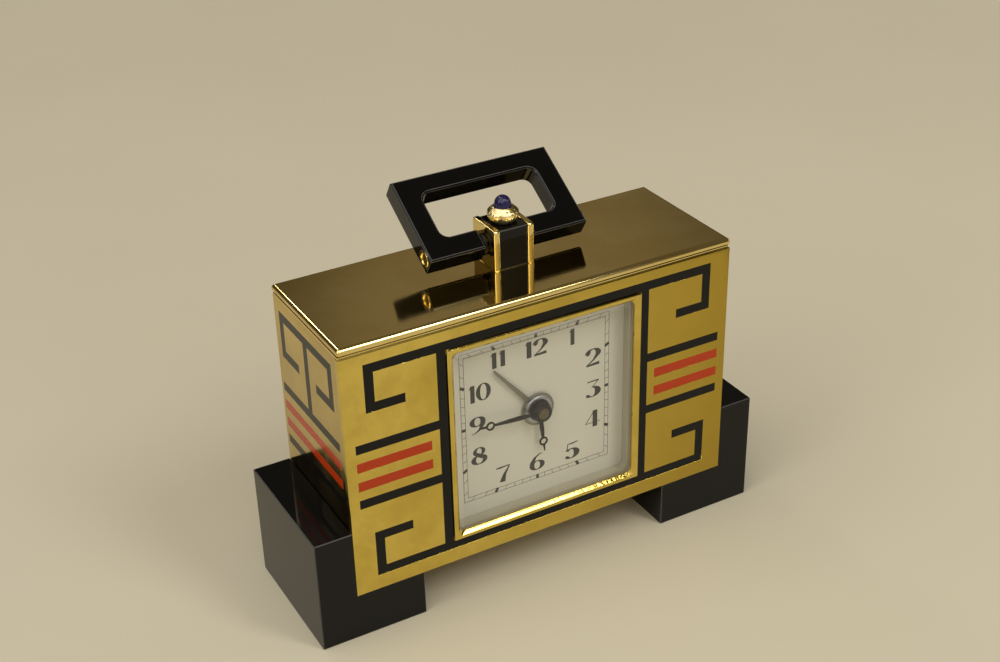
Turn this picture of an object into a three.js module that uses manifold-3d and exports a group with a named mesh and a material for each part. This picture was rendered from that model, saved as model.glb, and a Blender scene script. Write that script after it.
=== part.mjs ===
// Desk alarm clock: a lacquered brass case on two stone feet, with a stone handle that swings on top.
// Millimetres. +Z is up, +X is right and +Y is away from someone who faces the dial.
import * as THREE from "three";
import { mergeVertices } from "three/addons/utils/BufferGeometryUtils.js";
import Module from "manifold-3d";

const wasm = await Module();
wasm.setup();

// Case
const caseWidth = 91.0;
const caseDepth = 32.4;
const caseUnderside = 10.6; // height of the case's floor above the table
const caseHeight = 55.7; // from its floor to the step under the top plate
const frontThickness = 1.5;
const sideThickness = 1.3;
const floorThickness = 1.5;
const sideInset = 0.15; // the sides stand this far inside the front plate's edges
const slidingGap = 0.15; // between pieces that are put together by hand

// Top plate
const topOverhang = 0.05; // past the front plate on every side
const topThickness = 1.8;
const topEdgeFlat = 0.1; // band left between the edge's upper and lower roundings
const topStepHeight = 0.5; // recessed step that makes the dark line under the top plate
const topStepInset = 0.85;

// Window in the front plate
const windowMargin = 4.95; // from the window to the front plate's upper and lower edges, on average
const windowRise = 0.65; // of the window's middle above the front plate's
const windowCorner = 1.0;
const bezelProud = 0.6;
const bezelWidth = 1.5; // from the window's edge to the bezel's opening
const bezelCorner = 1.5;
const bezelRounding = 0.35;
const bezelSkirtWall = 0.55;
const bezelFit = 0.05;
const crystalProud = 0.3;
const crystalThickness = 1.1;
const crystalBoss = 0.55; // depth of the part of the crystal that fills the bezel's opening
const crystalBevel = 0.4;
const surroundSetback = 0.2; // of its inside behind the bezel's opening
const surroundWall = 0.55;
const surroundCorner = 1.2;
const surroundFlange = 1.0; // how far its flange reaches behind the front plate
const surroundFlangeThickness = 0.8;
const dialThickness = 0.5;
const dialMargin = 1.8; // of the dial past the inside of its surround
const dialHoleGap = 0.5;

// Lacquer
const lacquerDepth = 0.4;
const barWidth = 2.05;
const frontPatternMargin = 4.95; // from the outer bars to the front plate's sides
const frontHookDrop = 8.75; // clear height between the outer bar and the hook's foot
const frontHookReach = 8.55; // length of the hook's foot, measured from outside
const midBarZ = 6.45; // centres of the middle bars above and below the pattern's centre
const redBarZ = 2.2;
const redBarHeight = 2.15;
const midBarMargin = 2.2; // from the middle bars' ends to the front plate's sides
const redBarGap = 1.85; // from the frame of the window to the red bars
const sidePatternShift = 0.1; // of the pattern's centre behind the middle of the side
const sidePatternDrop = 0.35; // of the pattern's centre below the window's
const sidePatternTrim = 0.1; // of its half height against the front's pattern
const sideMidBarMargin = 1.35;
const sidePatternStep = 1.2; // the outer bars stand this far inside the middle bars' ends
const sideFootHalfGap = 4.25;

// Feet
const footBeside = 8.3; // how far a foot stands out beside the case
const footUnder = 15.5; // and how far it reaches under it
const footHeight = 26.2;
const footFrontSetback = 0.25;
const footBackProud = 0.1;
const footScrewSetback = 8.0; // from the foot's inner end
const footScrewRadius = 1.2;
const footScrewHole = 1.35;
const footScrewDepth = 6.5;
const footScrewHead = 2.6;
const footScrewHeadHeight = 1.4;

// Post on the top plate
const postY = 0.7;
const postHeight = 9.1;
const coreHalfWidth = 3.3;
const cheekThickness = 1.3;
const cheekHalfDepth = 4.6;
const cheekCorner = 0.6;
const coreSetback = 0.3; // the core is this much smaller than the cheeks in front, behind and above
const postScrewRadius = 1.2;
const postScrewHole = 1.35;
const postScrewDepth = 2.4;
const postScrewHead = 2.4;
const postScrewHeadHeight = 1.3;

// Cabochon and its collar
const collarRadius = 3.35;
const collarHeight = 3.4;
const collarSeat = 2.75;
const cabochonRadius = 1.85;
const cabochonHeight = 2.9;
const cabochonGap = 0.15;

// Handle, drawn upright and leaned back about its pin
const handleLean = 57.9; // degrees from upright
const pivotAboveTop = 4.7;
const handleHalfWidth = 18.35;
const handleBelowPivot = 2.25;
const handleAbovePivot = 18.05;
const handleThickness = 4.7;
const handleSideBar = 4.95;
const handleTopBar = 4.25;
const loopLow = 2.5;
const loopCorner = 2.0;
const handleChamfer = 0.35;
const spacerThickness = 0.7;
const spacerRadius = 2.3;
const spacerGap = 0.15;
const pinRadius = 0.9;
const pinHole = 1.15;
const pinHeadRadius = 1.7;
const pinHeadThickness = 0.7;
const pinHeadGap = 0.3;

// Hands, with their height above the dial
const alarmHandLift = 0.45;
const alarmHandThickness = 0.35;
const alarmHubRadius = 3.7;
const alarmHandRoot = 1.2;
const alarmHandTip = 0.5;
const alarmHandLength = 16.0;
const alarmHandAngle = 320; // degrees clockwise from twelve
const alarmToHourGap = 0.35;
const hourToMinuteGap = 0.6;
const handThickness = 0.3;
const hourHubRadius = 2.3;
const hourRingCentre = 8.0;
const hourHandLength = 10.5;
const hourHandAngle = 174;
const minuteHubRadius = 1.9;
const minuteRingCentre = 12.3;
const minuteHandLength = 15.0;
const minuteHandAngle = 273;
const ringRadius = 1.03;
const ringHole = 0.62;
const handStem = 0.85;
const handTip = 0.35;
const capRadius = 2.0;
const capHeight = 0.8;
const capToCrystal = 0.35;

// Wheels behind the dial
const toothModule = 0.4;
const addendum = 0.8; // in modules
const dedendum = 1.15;
const toothRootShare = 0.27; // half a tooth's width at its root and tip, as a share of the pitch
const toothTipShare = 0.09;
const cannonTeeth = 10;
const intermediateTeeth = 30;
const intermediatePinionTeeth = 8;
const alarmTeeth = 30;
const alarmSettingTeeth = 30;
const wheelThickness = 0.7;
const wheelGap = 0.4;
const intermediateDirection = 135; // degrees from +X, seen from the front
const alarmDirection = 45;
const arborRadius = 0.9;
const pipeGap = 0.15;
const pipeWall = 0.55;
const rearArborRadius = 1.2;
const cannonLength = 1.6;
const shoulderRadius = 2.2;
const shoulderThickness = 0.6;
const shaftRadius = 0.8;
const studRadius = 0.5;
const bearingGap = 0.15;

// Movement housing
const housingHalf = 18.0; // half its height; the battery sets its width
const housingWall = 1.2;
const wheelRoom = 6.4;
const rearRoom = 11.0;
const bayFloorGap = 0.3;
const batteryRadius = 6.0;
const batteryLength = 29.2;
const batteryNub = 1.0;
const batteryNubRadius = 2.0;
const batteryGap = 0.2;
const batteryShift = 0.5; // of the battery behind the middle of its room
const bayHeadroom = 1.6; // above the battery
const contactRoom = 1.7; // for a contact at each end of the battery
const contactThickness = 0.35;

// Circuit board, coil and buzzer
const boardThickness = 1.0;
const boardHeight = 8.0; // above the middle plate
const boardLength = 19.3;
const boardWidth = 11.8;
const boardGap = 0.5; // to the housing's walls
const boardPostRadius = 1.4;
const boardPostInset = 2.2;
const quartzFromEnd = 5.2; // from the board's end to the middle of the quartz can on its front
const quartzLength = 6.0;
const quartzWidth = 2.0;
const quartzHeight = 1.6;
const quartzEdge = 1.5; // from the board's lower edge
const coilRadius = 3.0;
const coilFlangeRadius = 3.9;
const coilLength = 13.0;
const coilFlange = 0.8;
const coilGap = 1.8; // to the housing's side wall
const coilRise = 0.7; // above the battery bay
const buzzerRadius = 6.2;
const buzzerThickness = 3.4;
const buzzerGap = 1.0; // to the housing's side wall
const buzzerRise = 0.8; // above the battery bay

// Back cover and what is set from behind
const coverThickness = 1.5;
const coverRecess = 0.3;
const coverScrewInset = 3.6;
const coverScrewRadius = 0.9;
const coverScrewHole = 1.05;
const coverScrewHead = 1.9;
const coverScrewHeadHeight = 0.8;
const coverScrewLength = 6.5;
const lugSize = 7.0;
const lugDepth = 8.0;
const knobGap = 0.4;
const timeKnobRadius = 5.5;
const timeKnobHeight = 4.0;
const alarmKnobRadius = 4.2;
const alarmKnobHeight = 3.0;
const knobFluteDepth = 0.35;
const timeKnobFlutes = 24;
const alarmKnobFlutes = 20;
const switchFromEdge = 3.4; // from the board's upper edge
const switchTravel = 3.5;
const switchKnobWidth = 3.6;
const switchKnobHeight = 3.0;
const switchKnobProud = 1.6;
const switchStem = 1.6;
const switchFlange = 1.1; // how far its inner flange overlaps the slot's edges
const switchFlangeThickness = 0.8;
const switchBlockHeight = 2.0;
const hatchSideFrame = 0.4; // the cover frames the battery bay's inside by this much
const hatchLowFrame = 0.6;
const hatchHighFrame = 0.7;
const hatchGap = 0.2;
const hatchTabDepth = 2.6;
const hatchTabThickness = 0.8;
const hatchTabWidth = 6.0;

const circleSteps = 32;
const smallCircleSteps = 16;
const arcSteps = 3;

// Levels that several pieces share
const frontFace = -caseDepth / 2;
const backFace = caseDepth / 2;
const plateBack = frontFace + frontThickness;
const caseHalf = caseWidth / 2;
const sideOuter = caseHalf - sideInset;
const sideInner = sideOuter - sideThickness;
const floorTop = caseUnderside + floorThickness;
const caseTop = caseUnderside + caseHeight;
const topUnderside = caseTop + topStepHeight;
const topFace = topUnderside + topThickness;
const topRounding = (topThickness - topEdgeFlat) / 2;
const windowHalf = caseHeight / 2 - windowMargin;
const windowCentreZ = caseUnderside + caseHeight / 2 + windowRise;
const bezelOpeningHalf = windowHalf - bezelWidth;
const surroundHalf = bezelOpeningHalf + surroundSetback;
const dialHalf = surroundHalf + dialMargin;
const crystalFront = frontFace - crystalProud;
const crystalStep = crystalFront + crystalBoss;
const crystalBack = crystalFront + crystalThickness;
const hourHandLift = alarmHandLift + alarmHandThickness + alarmToHourGap;
const minuteHandLift = hourHandLift + handThickness + hourToMinuteGap;
const dialFront = crystalBack + capToCrystal + capHeight + handThickness + minuteHandLift;
const dialBack = dialFront + dialThickness;
const coverFront = backFace - coverRecess - coverThickness;
const coverBack = backFace - coverRecess;
const wheelRoomFront = dialBack + housingWall;
const midPlateFront = wheelRoomFront + wheelRoom;
const midPlateBack = midPlateFront + housingWall;
const alarmWheelFront = wheelRoomFront + bearingGap * 2;
const alarmWheelBack = alarmWheelFront + wheelThickness;
const hourWheelFront = alarmWheelBack + wheelGap;
const hourWheelBack = hourWheelFront + wheelThickness;
const cannonFront = hourWheelBack + wheelGap;
const cannonBack = cannonFront + cannonLength;
const hourPipeBore = arborRadius + pipeGap;
const hourPipeRadius = hourPipeBore + pipeWall;
const alarmPipeBore = hourPipeRadius + pipeGap;
const alarmPipeRadius = alarmPipeBore + pipeWall;
const dialHole = alarmPipeRadius + dialHoleGap;
const hourTeeth = cannonTeeth + intermediateTeeth - intermediatePinionTeeth;
const trainDistance = (toothModule * (cannonTeeth + intermediateTeeth)) / 2;
const alarmDistance = (toothModule * (alarmTeeth + alarmSettingTeeth)) / 2;
const intermediateAngle = THREE.MathUtils.degToRad(intermediateDirection);
const intermediateX = trainDistance * Math.cos(intermediateAngle);
const intermediateZ = windowCentreZ + trainDistance * Math.sin(intermediateAngle);
const alarmAngle = THREE.MathUtils.degToRad(alarmDirection);
const alarmShaftX = alarmDistance * Math.cos(alarmAngle);
const alarmShaftZ = windowCentreZ + alarmDistance * Math.sin(alarmAngle);
const bayLow = floorTop + bayFloorGap;
const batteryZ = bayLow + housingWall + batteryGap + batteryRadius;
const batteryY = (midPlateBack + coverFront) / 2 + batteryShift;
const bayTop = batteryZ + batteryRadius + batteryGap + bayHeadroom + housingWall;
const housingInnerX = (batteryLength + batteryNub) / 2 + contactRoom;
const housingInnerZ = housingHalf - housingWall;
const housingHalfWidth = housingInnerX + housingWall;
const hatchHalfWidth = housingInnerX - hatchSideFrame;
const hatchLow = bayLow + housingWall + hatchLowFrame;
const hatchHigh = bayTop - housingWall - hatchHighFrame;
const boardFront = midPlateBack + boardHeight;
const boardBack = boardFront + boardThickness;
const boardLowX = -(housingInnerX - boardGap);
const boardHighX = boardLowX + boardLength;
const boardHighZ = windowCentreZ + housingInnerZ - boardGap;
const boardLowZ = boardHighZ - boardWidth;
const switchHalf = (switchKnobWidth + switchTravel) / 2 + switchFlange; // half the room that the slide sweeps
const switchX = -housingInnerX + slidingGap + switchHalf;
const switchZ = boardHighZ - switchFromEdge;
const footOuter = caseHalf + footBeside;
const footInner = caseHalf - footUnder;
const footScrewX = footInner + footScrewSetback;
const pivotZ = topFace + pivotAboveTop;
const postTop = topFace + postHeight;
const coreTop = postTop - coreSetback;
const postHalfWidth = coreHalfWidth + cheekThickness;
const loopHalfWidth = handleHalfWidth - handleSideBar;
const loopHigh = handleAbovePivot - handleTopBar;
const pinHeadRecess = pinHeadGap + pinHeadThickness;

const finishes = {
  mirrorGold: { color: 0xd8a84a, roughness: 0.12, metalness: 1.0 },
  satinGold: { color: 0xb98a34, roughness: 0.35, metalness: 1.0 },
  blackLacquer: { color: 0x0b0b0c, roughness: 0.15, metalness: 0.0 },
  redLacquer: { color: 0xc8321a, roughness: 0.2, metalness: 0.0 },
  blackStone: { color: 0x08080a, roughness: 0.1, metalness: 0.0 },
  blueStone: { color: 0x15104a, roughness: 0.08, metalness: 0.0 },
  crystal: { color: 0xf4f6f4, roughness: 0.03, metalness: 0.0, transparent: true, opacity: 0.25 },
  cream: { color: 0xe6dfd0, roughness: 0.6, metalness: 0.0 },
  greySteel: { color: 0x6d7075, roughness: 0.35, metalness: 1.0 },
  blackSteel: { color: 0x141517, roughness: 0.35, metalness: 0.6 },
  brass: { color: 0xb8923a, roughness: 0.3, metalness: 1.0 },
  moulding: { color: 0x23262b, roughness: 0.55, metalness: 0.0 },
  circuit: { color: 0x1f5a34, roughness: 0.5, metalness: 0.0 },
  copper: { color: 0xa85a2c, roughness: 0.4, metalness: 0.9 },
  batteryWrap: { color: 0x3a4450, roughness: 0.4, metalness: 0.2 },
};

const clock = new THREE.Group();

function addPiece(name, finish, geometry, parent = clock) {
  const mesh = new THREE.Mesh(geometry, new THREE.MeshStandardMaterial(finishes[finish]));
  mesh.name = name;
  parent.add(mesh);
  return mesh;
}

function block([lowX, lowY, lowZ], [highX, highY, highZ]) {
  const geometry = new THREE.BoxGeometry(1, 1, 1);
  const corner = geometry.getAttribute("position");
  for (let i = 0; i < corner.count; i += 1) {
    const x = corner.getX(i) < 0 ? lowX : highX;
    const y = corner.getY(i) < 0 ? lowY : highY;
    const z = corner.getZ(i) < 0 ? lowZ : highZ;
    corner.setXYZ(i, x, y, z);
  }
  return geometry;
}

// Stands a flat extrusion up, so that its outline lies in x and z and its depth ends at backY.
function standing(backY) {
  return new THREE.Matrix4().set(1, 0, 0, 0, 0, 0, -1, backY, 0, 1, 0, 0, 0, 0, 0, 1);
}

// An outline drawn in x and z, as seen from the front, given a thickness from frontY to backY.
function slab(shape, frontY, backY) {
  const geometry = new THREE.ExtrudeGeometry(shape, {
    depth: backY - frontY,
    bevelEnabled: false,
    curveSegments: arcSteps,
  });
  return geometry.applyMatrix4(standing(backY));
}

// The same with its edges rounded or chamfered, without growing past the outline.
function softSlab(shape, frontY, backY, rounding, steps) {
  const geometry = new THREE.ExtrudeGeometry(shape, {
    depth: backY - frontY - 2 * rounding,
    bevelEnabled: true,
    bevelThickness: rounding,
    bevelSize: rounding,
    bevelOffset: -rounding,
    bevelSegments: steps,
    curveSegments: arcSteps,
  });
  return geometry.applyMatrix4(standing(backY - rounding));
}

// A turned piece on the Y axis. The profile is a list of [radius, y] and starts and ends on the axis.
function turnedAlongY(profile, steps = circleSteps) {
  return new THREE.LatheGeometry(profile.map(([radius, y]) => new THREE.Vector2(radius, y)), steps);
}

function turnedAlongZ(profile, steps = circleSteps) {
  return turnedAlongY(profile, steps).rotateX(Math.PI / 2);
}

function turnedAlongX(profile, steps = circleSteps) {
  return turnedAlongY(profile, steps).rotateZ(-Math.PI / 2);
}

function rod(radius, low, high) {
  return [[0, low], [radius, low], [radius, high], [0, high]];
}

function toSolid(geometry) {
  const bare = geometry.clone();
  bare.deleteAttribute("normal");
  bare.deleteAttribute("uv");
  const merged = mergeVertices(bare, 1e-5);
  return new wasm.Manifold(new wasm.Mesh({
    numProp: 3,
    vertProperties: merged.getAttribute("position").array,
    triVerts: Uint32Array.from(merged.index.array),
  }));
}

function toGeometry(solid) {
  const mesh = solid.getMesh();
  const geometry = new THREE.BufferGeometry();
  geometry.setAttribute("position", new THREE.BufferAttribute(Float32Array.from(mesh.vertProperties), 3));
  geometry.setIndex(new THREE.BufferAttribute(Uint32Array.from(mesh.triVerts), 1));
  geometry.computeVertexNormals();
  return geometry;
}

function joined(...geometries) {
  return toGeometry(geometries.map(toSolid).reduce((sum, next) => sum.add(next)));
}

function cut(base, ...tools) {
  return toGeometry(tools.map(toSolid).reduce((rest, tool) => rest.subtract(tool), toSolid(base)));
}

function rectangle(lowX, highX, lowZ, highZ) {
  const shape = new THREE.Shape();
  shape.moveTo(lowX, lowZ);
  shape.lineTo(highX, lowZ);
  shape.lineTo(highX, highZ);
  shape.lineTo(lowX, highZ);
  shape.closePath();
  return shape;
}

function roundedRectangle(lowX, highX, lowZ, highZ, radius) {
  const shape = new THREE.Shape();
  shape.moveTo(lowX + radius, lowZ);
  shape.lineTo(highX - radius, lowZ);
  shape.absarc(highX - radius, lowZ + radius, radius, -Math.PI / 2, 0);
  shape.lineTo(highX, highZ - radius);
  shape.absarc(highX - radius, highZ - radius, radius, 0, Math.PI / 2);
  shape.lineTo(lowX + radius, highZ);
  shape.absarc(lowX + radius, highZ - radius, radius, Math.PI / 2, Math.PI);
  shape.lineTo(lowX, lowZ + radius);
  shape.absarc(lowX + radius, lowZ + radius, radius, Math.PI, Math.PI * 1.5);
  return shape;
}

function windowSquare(half, corner) {
  return roundedRectangle(-half, half, windowCentreZ - half, windowCentreZ + half, corner);
}

function squareRing(outerHalf, outerCorner, innerHalf, innerCorner) {
  const ring = windowSquare(outerHalf, outerCorner);
  ring.holes.push(windowSquare(innerHalf, innerCorner));
  return ring;
}

// Lacquer bars. Each pattern is a list of rectangles [low a, high a, low z, high z] in the face's plane,
// where a runs across the face.
const midBarLow = midBarZ - barWidth / 2;
const midBarHigh = midBarZ + barWidth / 2;
const frontPatternHalfWidth = caseHalf - frontPatternMargin;
const midBarEnd = caseHalf - midBarMargin;
const redBarStart = windowHalf + barWidth + redBarGap;
const sidePatternY = (plateBack + backFace) / 2 + sidePatternShift;
const sidePatternZ = windowCentreZ - sidePatternDrop;
const sidePatternHalfHeight = windowHalf + barWidth - sidePatternTrim;
const sideMidBarHalf = (backFace - plateBack) / 2 - sideMidBarMargin;
const sidePatternHalfWidth = sideMidBarHalf - sidePatternStep;

function frontBlackBars() {
  const inner = windowHalf;
  const outer = windowHalf + barWidth;
  const bars = [];
  for (const up of [1, -1]) {
    bars.push([-frontPatternHalfWidth, frontPatternHalfWidth, inner * up, outer * up]);
    for (const side of [1, -1]) {
      const edge = frontPatternHalfWidth * side;
      const hookInside = (frontPatternHalfWidth - barWidth) * side;
      const footEnd = (frontPatternHalfWidth - frontHookReach) * side;
      const footTop = (inner - frontHookDrop + barWidth) * up;
      const footBottom = (inner - frontHookDrop) * up;
      bars.push([hookInside, edge, footBottom, outer * up]);
      bars.push([footEnd, edge, footBottom, footTop]);
      bars.push([inner * side, midBarEnd * side, midBarLow * up, midBarHigh * up]);
    }
  }
  for (const side of [1, -1]) {
    bars.push([inner * side, outer * side, -outer, outer]);
  }
  return bars;
}

function sideBlackBars(up) {
  const outer = sidePatternHalfHeight;
  const inner = outer - barWidth;
  const bars = [
    [-sidePatternHalfWidth, sidePatternHalfWidth, inner * up, outer * up],
    [-barWidth / 2, barWidth / 2, midBarLow * up, outer * up],
    [-sideMidBarHalf, sideMidBarHalf, midBarLow * up, midBarHigh * up],
  ];
  for (const side of [1, -1]) {
    const edge = sidePatternHalfWidth * side;
    const footBottom = (inner - frontHookDrop) * up;
    bars.push([edge - barWidth * side, edge, footBottom, outer * up]);
    bars.push([sideFootHalfGap * side, edge, footBottom, (inner - frontHookDrop + barWidth) * up]);
  }
  return bars;
}

function redBarSpan(up) {
  return [(redBarZ - redBarHeight / 2) * up, (redBarZ + redBarHeight / 2) * up];
}

// One bar as a block, lying in the front face or in a side face.
function frontBar([a0, a1, z0, z1]) {
  return block(
    [Math.min(a0, a1), frontFace, windowCentreZ + Math.min(z0, z1)],
    [Math.max(a0, a1), frontFace + lacquerDepth, windowCentreZ + Math.max(z0, z1)],
  );
}

function sideBar(side, [a0, a1, z0, z1]) {
  const outside = sideOuter * side;
  const inside = (sideOuter - lacquerDepth) * side;
  return block(
    [Math.min(outside, inside), sidePatternY + Math.min(a0, a1), sidePatternZ + Math.min(z0, z1)],
    [Math.max(outside, inside), sidePatternY + Math.max(a0, a1), sidePatternZ + Math.max(z0, z1)],
  );
}

function addFrontPlate() {
  const pockets = frontBlackBars().map(frontBar);
  const black = joined(...pockets);
  addPiece("front_black_lacquer", "blackLacquer", black);
  const reds = [];
  for (const [level, up] of [["upper", 1], ["lower", -1]]) {
    for (const [place, side] of [["right", 1], ["left", -1]]) {
      const red = frontBar([redBarStart * side, midBarEnd * side, ...redBarSpan(up)]);
      addPiece(`front_red_bar_${level}_${place}`, "redLacquer", red);
      reds.push(red);
    }
  }
  const plate = block([-caseHalf, frontFace, caseUnderside], [caseHalf, plateBack, caseTop]);
  const opening = slab(windowSquare(windowHalf, windowCorner), frontFace - 1, plateBack + 1);
  addPiece("front_plate", "satinGold", cut(plate, opening, black, ...reds));
}

// Both sides and the floor are one soldered shell, with four lugs for the back cover's screws.
function coverScrewPlaces() {
  const places = [];
  for (const z of [floorTop + coverScrewInset, caseTop - coverScrewInset]) {
    for (const x of [sideInner - coverScrewInset, -(sideInner - coverScrewInset)]) {
      places.push([x, z]);
    }
  }
  return places;
}

function addCaseShell() {
  const walls = [block([-sideOuter, plateBack, caseUnderside], [sideOuter, backFace, floorTop])];
  const lacquers = [];
  for (const [place, side] of [["left", -1], ["right", 1]]) {
    const x0 = Math.min(sideInner * side, sideOuter * side);
    const x1 = Math.max(sideInner * side, sideOuter * side);
    walls.push(block([x0, plateBack, caseUnderside], [x1, backFace, caseTop]));
    for (const [level, up] of [["upper", 1], ["lower", -1]]) {
      const black = joined(...sideBlackBars(up).map((bar) => sideBar(side, bar)));
      const red = sideBar(side, [-sideMidBarHalf, sideMidBarHalf, ...redBarSpan(up)]);
      addPiece(`${place}_black_lacquer_${level}`, "blackLacquer", black);
      addPiece(`${place}_red_bar_${level}`, "redLacquer", red);
      lacquers.push(black, red);
    }
  }
  const holes = [];
  for (const [x, z] of coverScrewPlaces()) {
    const outward = Math.sign(x);
    const edge = sideInner * outward;
    const upper = z > (floorTop + caseTop) / 2;
    const lugZ = upper ? [caseTop - lugSize, caseTop] : [floorTop, floorTop + lugSize];
    walls.push(block(
      [Math.min(edge, edge - lugSize * outward), coverFront - lugDepth, lugZ[0]],
      [Math.max(edge, edge - lugSize * outward), coverFront, lugZ[1]],
    ));
    const path = rod(coverScrewHole, coverFront - coverScrewLength, coverFront + 1);
    holes.push(turnedAlongY(path, smallCircleSteps).translate(x, 0, z));
  }
  for (const side of [1, -1]) {
    const hole = turnedAlongZ(rod(footScrewHole, caseUnderside - 1, floorTop + 1), smallCircleSteps);
    holes.push(hole.translate(footScrewX * side, 0, 0));
  }
  addPiece("case_shell", "mirrorGold", cut(joined(...walls), ...lacquers, ...holes));
}

function addTopPlate() {
  const halfX = caseHalf + topOverhang;
  const halfY = caseDepth / 2 + topOverhang;
  const outline = rectangle(-halfX, halfX, -halfY, halfY);
  const plate = new THREE.ExtrudeGeometry(outline, {
    depth: topThickness - 2 * topRounding,
    bevelEnabled: true,
    bevelThickness: topRounding,
    bevelSize: topRounding,
    bevelOffset: -topRounding,
    bevelSegments: 4,
  });
  plate.translate(0, 0, topUnderside + topRounding);
  const stepX = caseHalf - topStepInset;
  const stepY = caseDepth / 2 - topStepInset;
  const step = block([-stepX, -stepY, caseTop], [stepX, stepY, topUnderside + topThickness / 2]);
  const hole = turnedAlongZ(rod(postScrewHole, caseTop - 1, topFace + 1), smallCircleSteps);
  addPiece("top_plate", "mirrorGold", cut(joined(plate, step), hole.translate(0, postY, 0)));
}

function addFeet() {
  const front = frontFace + footFrontSetback;
  const back = backFace + footBackProud;
  for (const [place, side] of [["left", -1], ["right", 1]]) {
    const outline = new THREE.Shape();
    outline.moveTo(footInner * side, 0);
    outline.lineTo(footOuter * side, 0);
    outline.lineTo(footOuter * side, footHeight);
    outline.lineTo(caseHalf * side, footHeight);
    outline.lineTo(caseHalf * side, caseUnderside);
    outline.lineTo(footInner * side, caseUnderside);
    outline.closePath();
    const path = rod(footScrewHole, caseUnderside - footScrewDepth, caseUnderside + 1);
    const hole = turnedAlongZ(path, smallCircleSteps).translate(footScrewX * side, 0, 0);
    addPiece(`${place}_foot`, "blackStone", cut(slab(outline, front, back), hole));

    const tip = caseUnderside - footScrewDepth + slidingGap;
    const screw = turnedAlongZ([
      [0, tip],
      [footScrewRadius, tip],
      [footScrewRadius, floorTop],
      [footScrewHead, floorTop],
      [footScrewHead, floorTop + footScrewHeadHeight],
      [0, floorTop + footScrewHeadHeight],
    ], smallCircleSteps);
    addPiece(`${place}_foot_screw`, "greySteel", screw.translate(footScrewX * side, 0, 0));
  }
}

function addWindow() {
  const skirtOuter = windowHalf - bezelFit;
  const skirtInner = skirtOuter - bezelSkirtWall;
  const bezelFront = frontFace - bezelProud;
  const lip = softSlab(
    squareRing(skirtOuter, windowCorner, bezelOpeningHalf, bezelCorner),
    bezelFront, crystalStep, bezelRounding, 2,
  );
  const skirt = slab(squareRing(skirtOuter, windowCorner, skirtInner, bezelCorner), frontFace, plateBack);
  addPiece("bezel", "mirrorGold", joined(lip, skirt));

  const bossHalf = bezelOpeningHalf - bezelFit;
  const flangeHalf = skirtInner - bezelFit;
  const boss = softSlab(windowSquare(bossHalf, bezelCorner), crystalFront, crystalBack, crystalBevel, 1);
  const flange = slab(windowSquare(flangeHalf, bezelCorner), crystalStep, crystalBack);
  addPiece("crystal", "crystal", joined(boss, flange));

  const tube = slab(
    squareRing(surroundHalf + surroundWall, bezelCorner, surroundHalf, surroundCorner),
    crystalBack, dialFront,
  );
  const flangeRing = slab(
    squareRing(windowHalf + surroundFlange, bezelCorner, surroundHalf + surroundWall / 2, surroundCorner),
    plateBack, plateBack + surroundFlangeThickness,
  );
  addPiece("dial_surround", "cream", joined(tube, flangeRing));

  const dial = slab(windowSquare(dialHalf, windowCorner), dialFront, dialBack);
  const hole = turnedAlongY(rod(dialHole, dialFront - 1, dialBack + 1)).translate(0, 0, windowCentreZ);
  addPiece("dial_plate", "cream", cut(dial, hole));
}

// The train is drawn about the dial's centre, so this group carries it there.
const centre = new THREE.Group();
centre.position.z = windowCentreZ;
clock.add(centre);

// A turn about +Y is clockwise to someone who faces the dial.
function clockwise(degrees) {
  return THREE.MathUtils.degToRad(degrees);
}

function taperedStem(rootWidth, tipWidth, low, high) {
  const shape = new THREE.Shape();
  shape.moveTo(-rootWidth / 2, low);
  shape.lineTo(rootWidth / 2, low);
  shape.lineTo(tipWidth / 2, high);
  shape.lineTo(-tipWidth / 2, high);
  shape.closePath();
  return shape;
}

function ringHand(hubRadius, bore, ringCentre, length, front) {
  const back = front + handThickness;
  const hub = turnedAlongY(rod(hubRadius, front, back));
  const stem = slab(taperedStem(handStem * 1.2, handStem, 0, ringCentre - ringHole), front, back);
  const ring = turnedAlongY(rod(ringRadius, front, back), smallCircleSteps).translate(0, 0, ringCentre);
  const tip = slab(taperedStem(handStem, handTip, ringCentre + ringHole, length), front, back);
  const ringEye = turnedAlongY(rod(ringHole, front - 1, back + 1), smallCircleSteps);
  ringEye.translate(0, 0, ringCentre);
  const eye = turnedAlongY(rod(bore, front - 1, back + 1));
  return cut(joined(hub, stem, ring, tip), ringEye, eye);
}

function addHands() {
  const alarmFront = dialFront - alarmHandLift - alarmHandThickness;
  const alarmBack = dialFront - alarmHandLift;
  const hub = turnedAlongY(rod(alarmHubRadius, alarmFront, alarmBack));
  const stem = slab(taperedStem(alarmHandRoot, alarmHandTip, 0, alarmHandLength), alarmFront, alarmBack);
  const eye = turnedAlongY(rod(alarmPipeRadius + bezelFit, alarmFront - 1, alarmBack + 1));
  const alarm = addPiece("alarm_hand", "greySteel", cut(joined(hub, stem), eye), centre);
  alarm.rotation.y = clockwise(alarmHandAngle);

  const hourFront = dialFront - hourHandLift - handThickness;
  const hourBore = hourPipeRadius + bezelFit;
  const hour = ringHand(hourHubRadius, hourBore, hourRingCentre, hourHandLength, hourFront);
  addPiece("hour_hand", "blackSteel", hour, centre).rotation.y = clockwise(hourHandAngle);

  const minuteFront = dialFront - minuteHandLift - handThickness;
  const minuteBore = arborRadius + bezelFit;
  const minute = ringHand(minuteHubRadius, minuteBore, minuteRingCentre, minuteHandLength, minuteFront);
  addPiece("minute_hand", "blackSteel", minute, centre).rotation.y = clockwise(minuteHandAngle);

  addPiece("centre_cap", "blackSteel", turnedAlongY([
    [0, minuteFront - capHeight],
    [capRadius * 0.55, minuteFront - capHeight],
    [capRadius * 0.85, minuteFront - capHeight * 0.75],
    [capRadius, minuteFront - capHeight * 0.35],
    [capRadius, minuteFront],
    [0, minuteFront],
  ]), centre);
}

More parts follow.
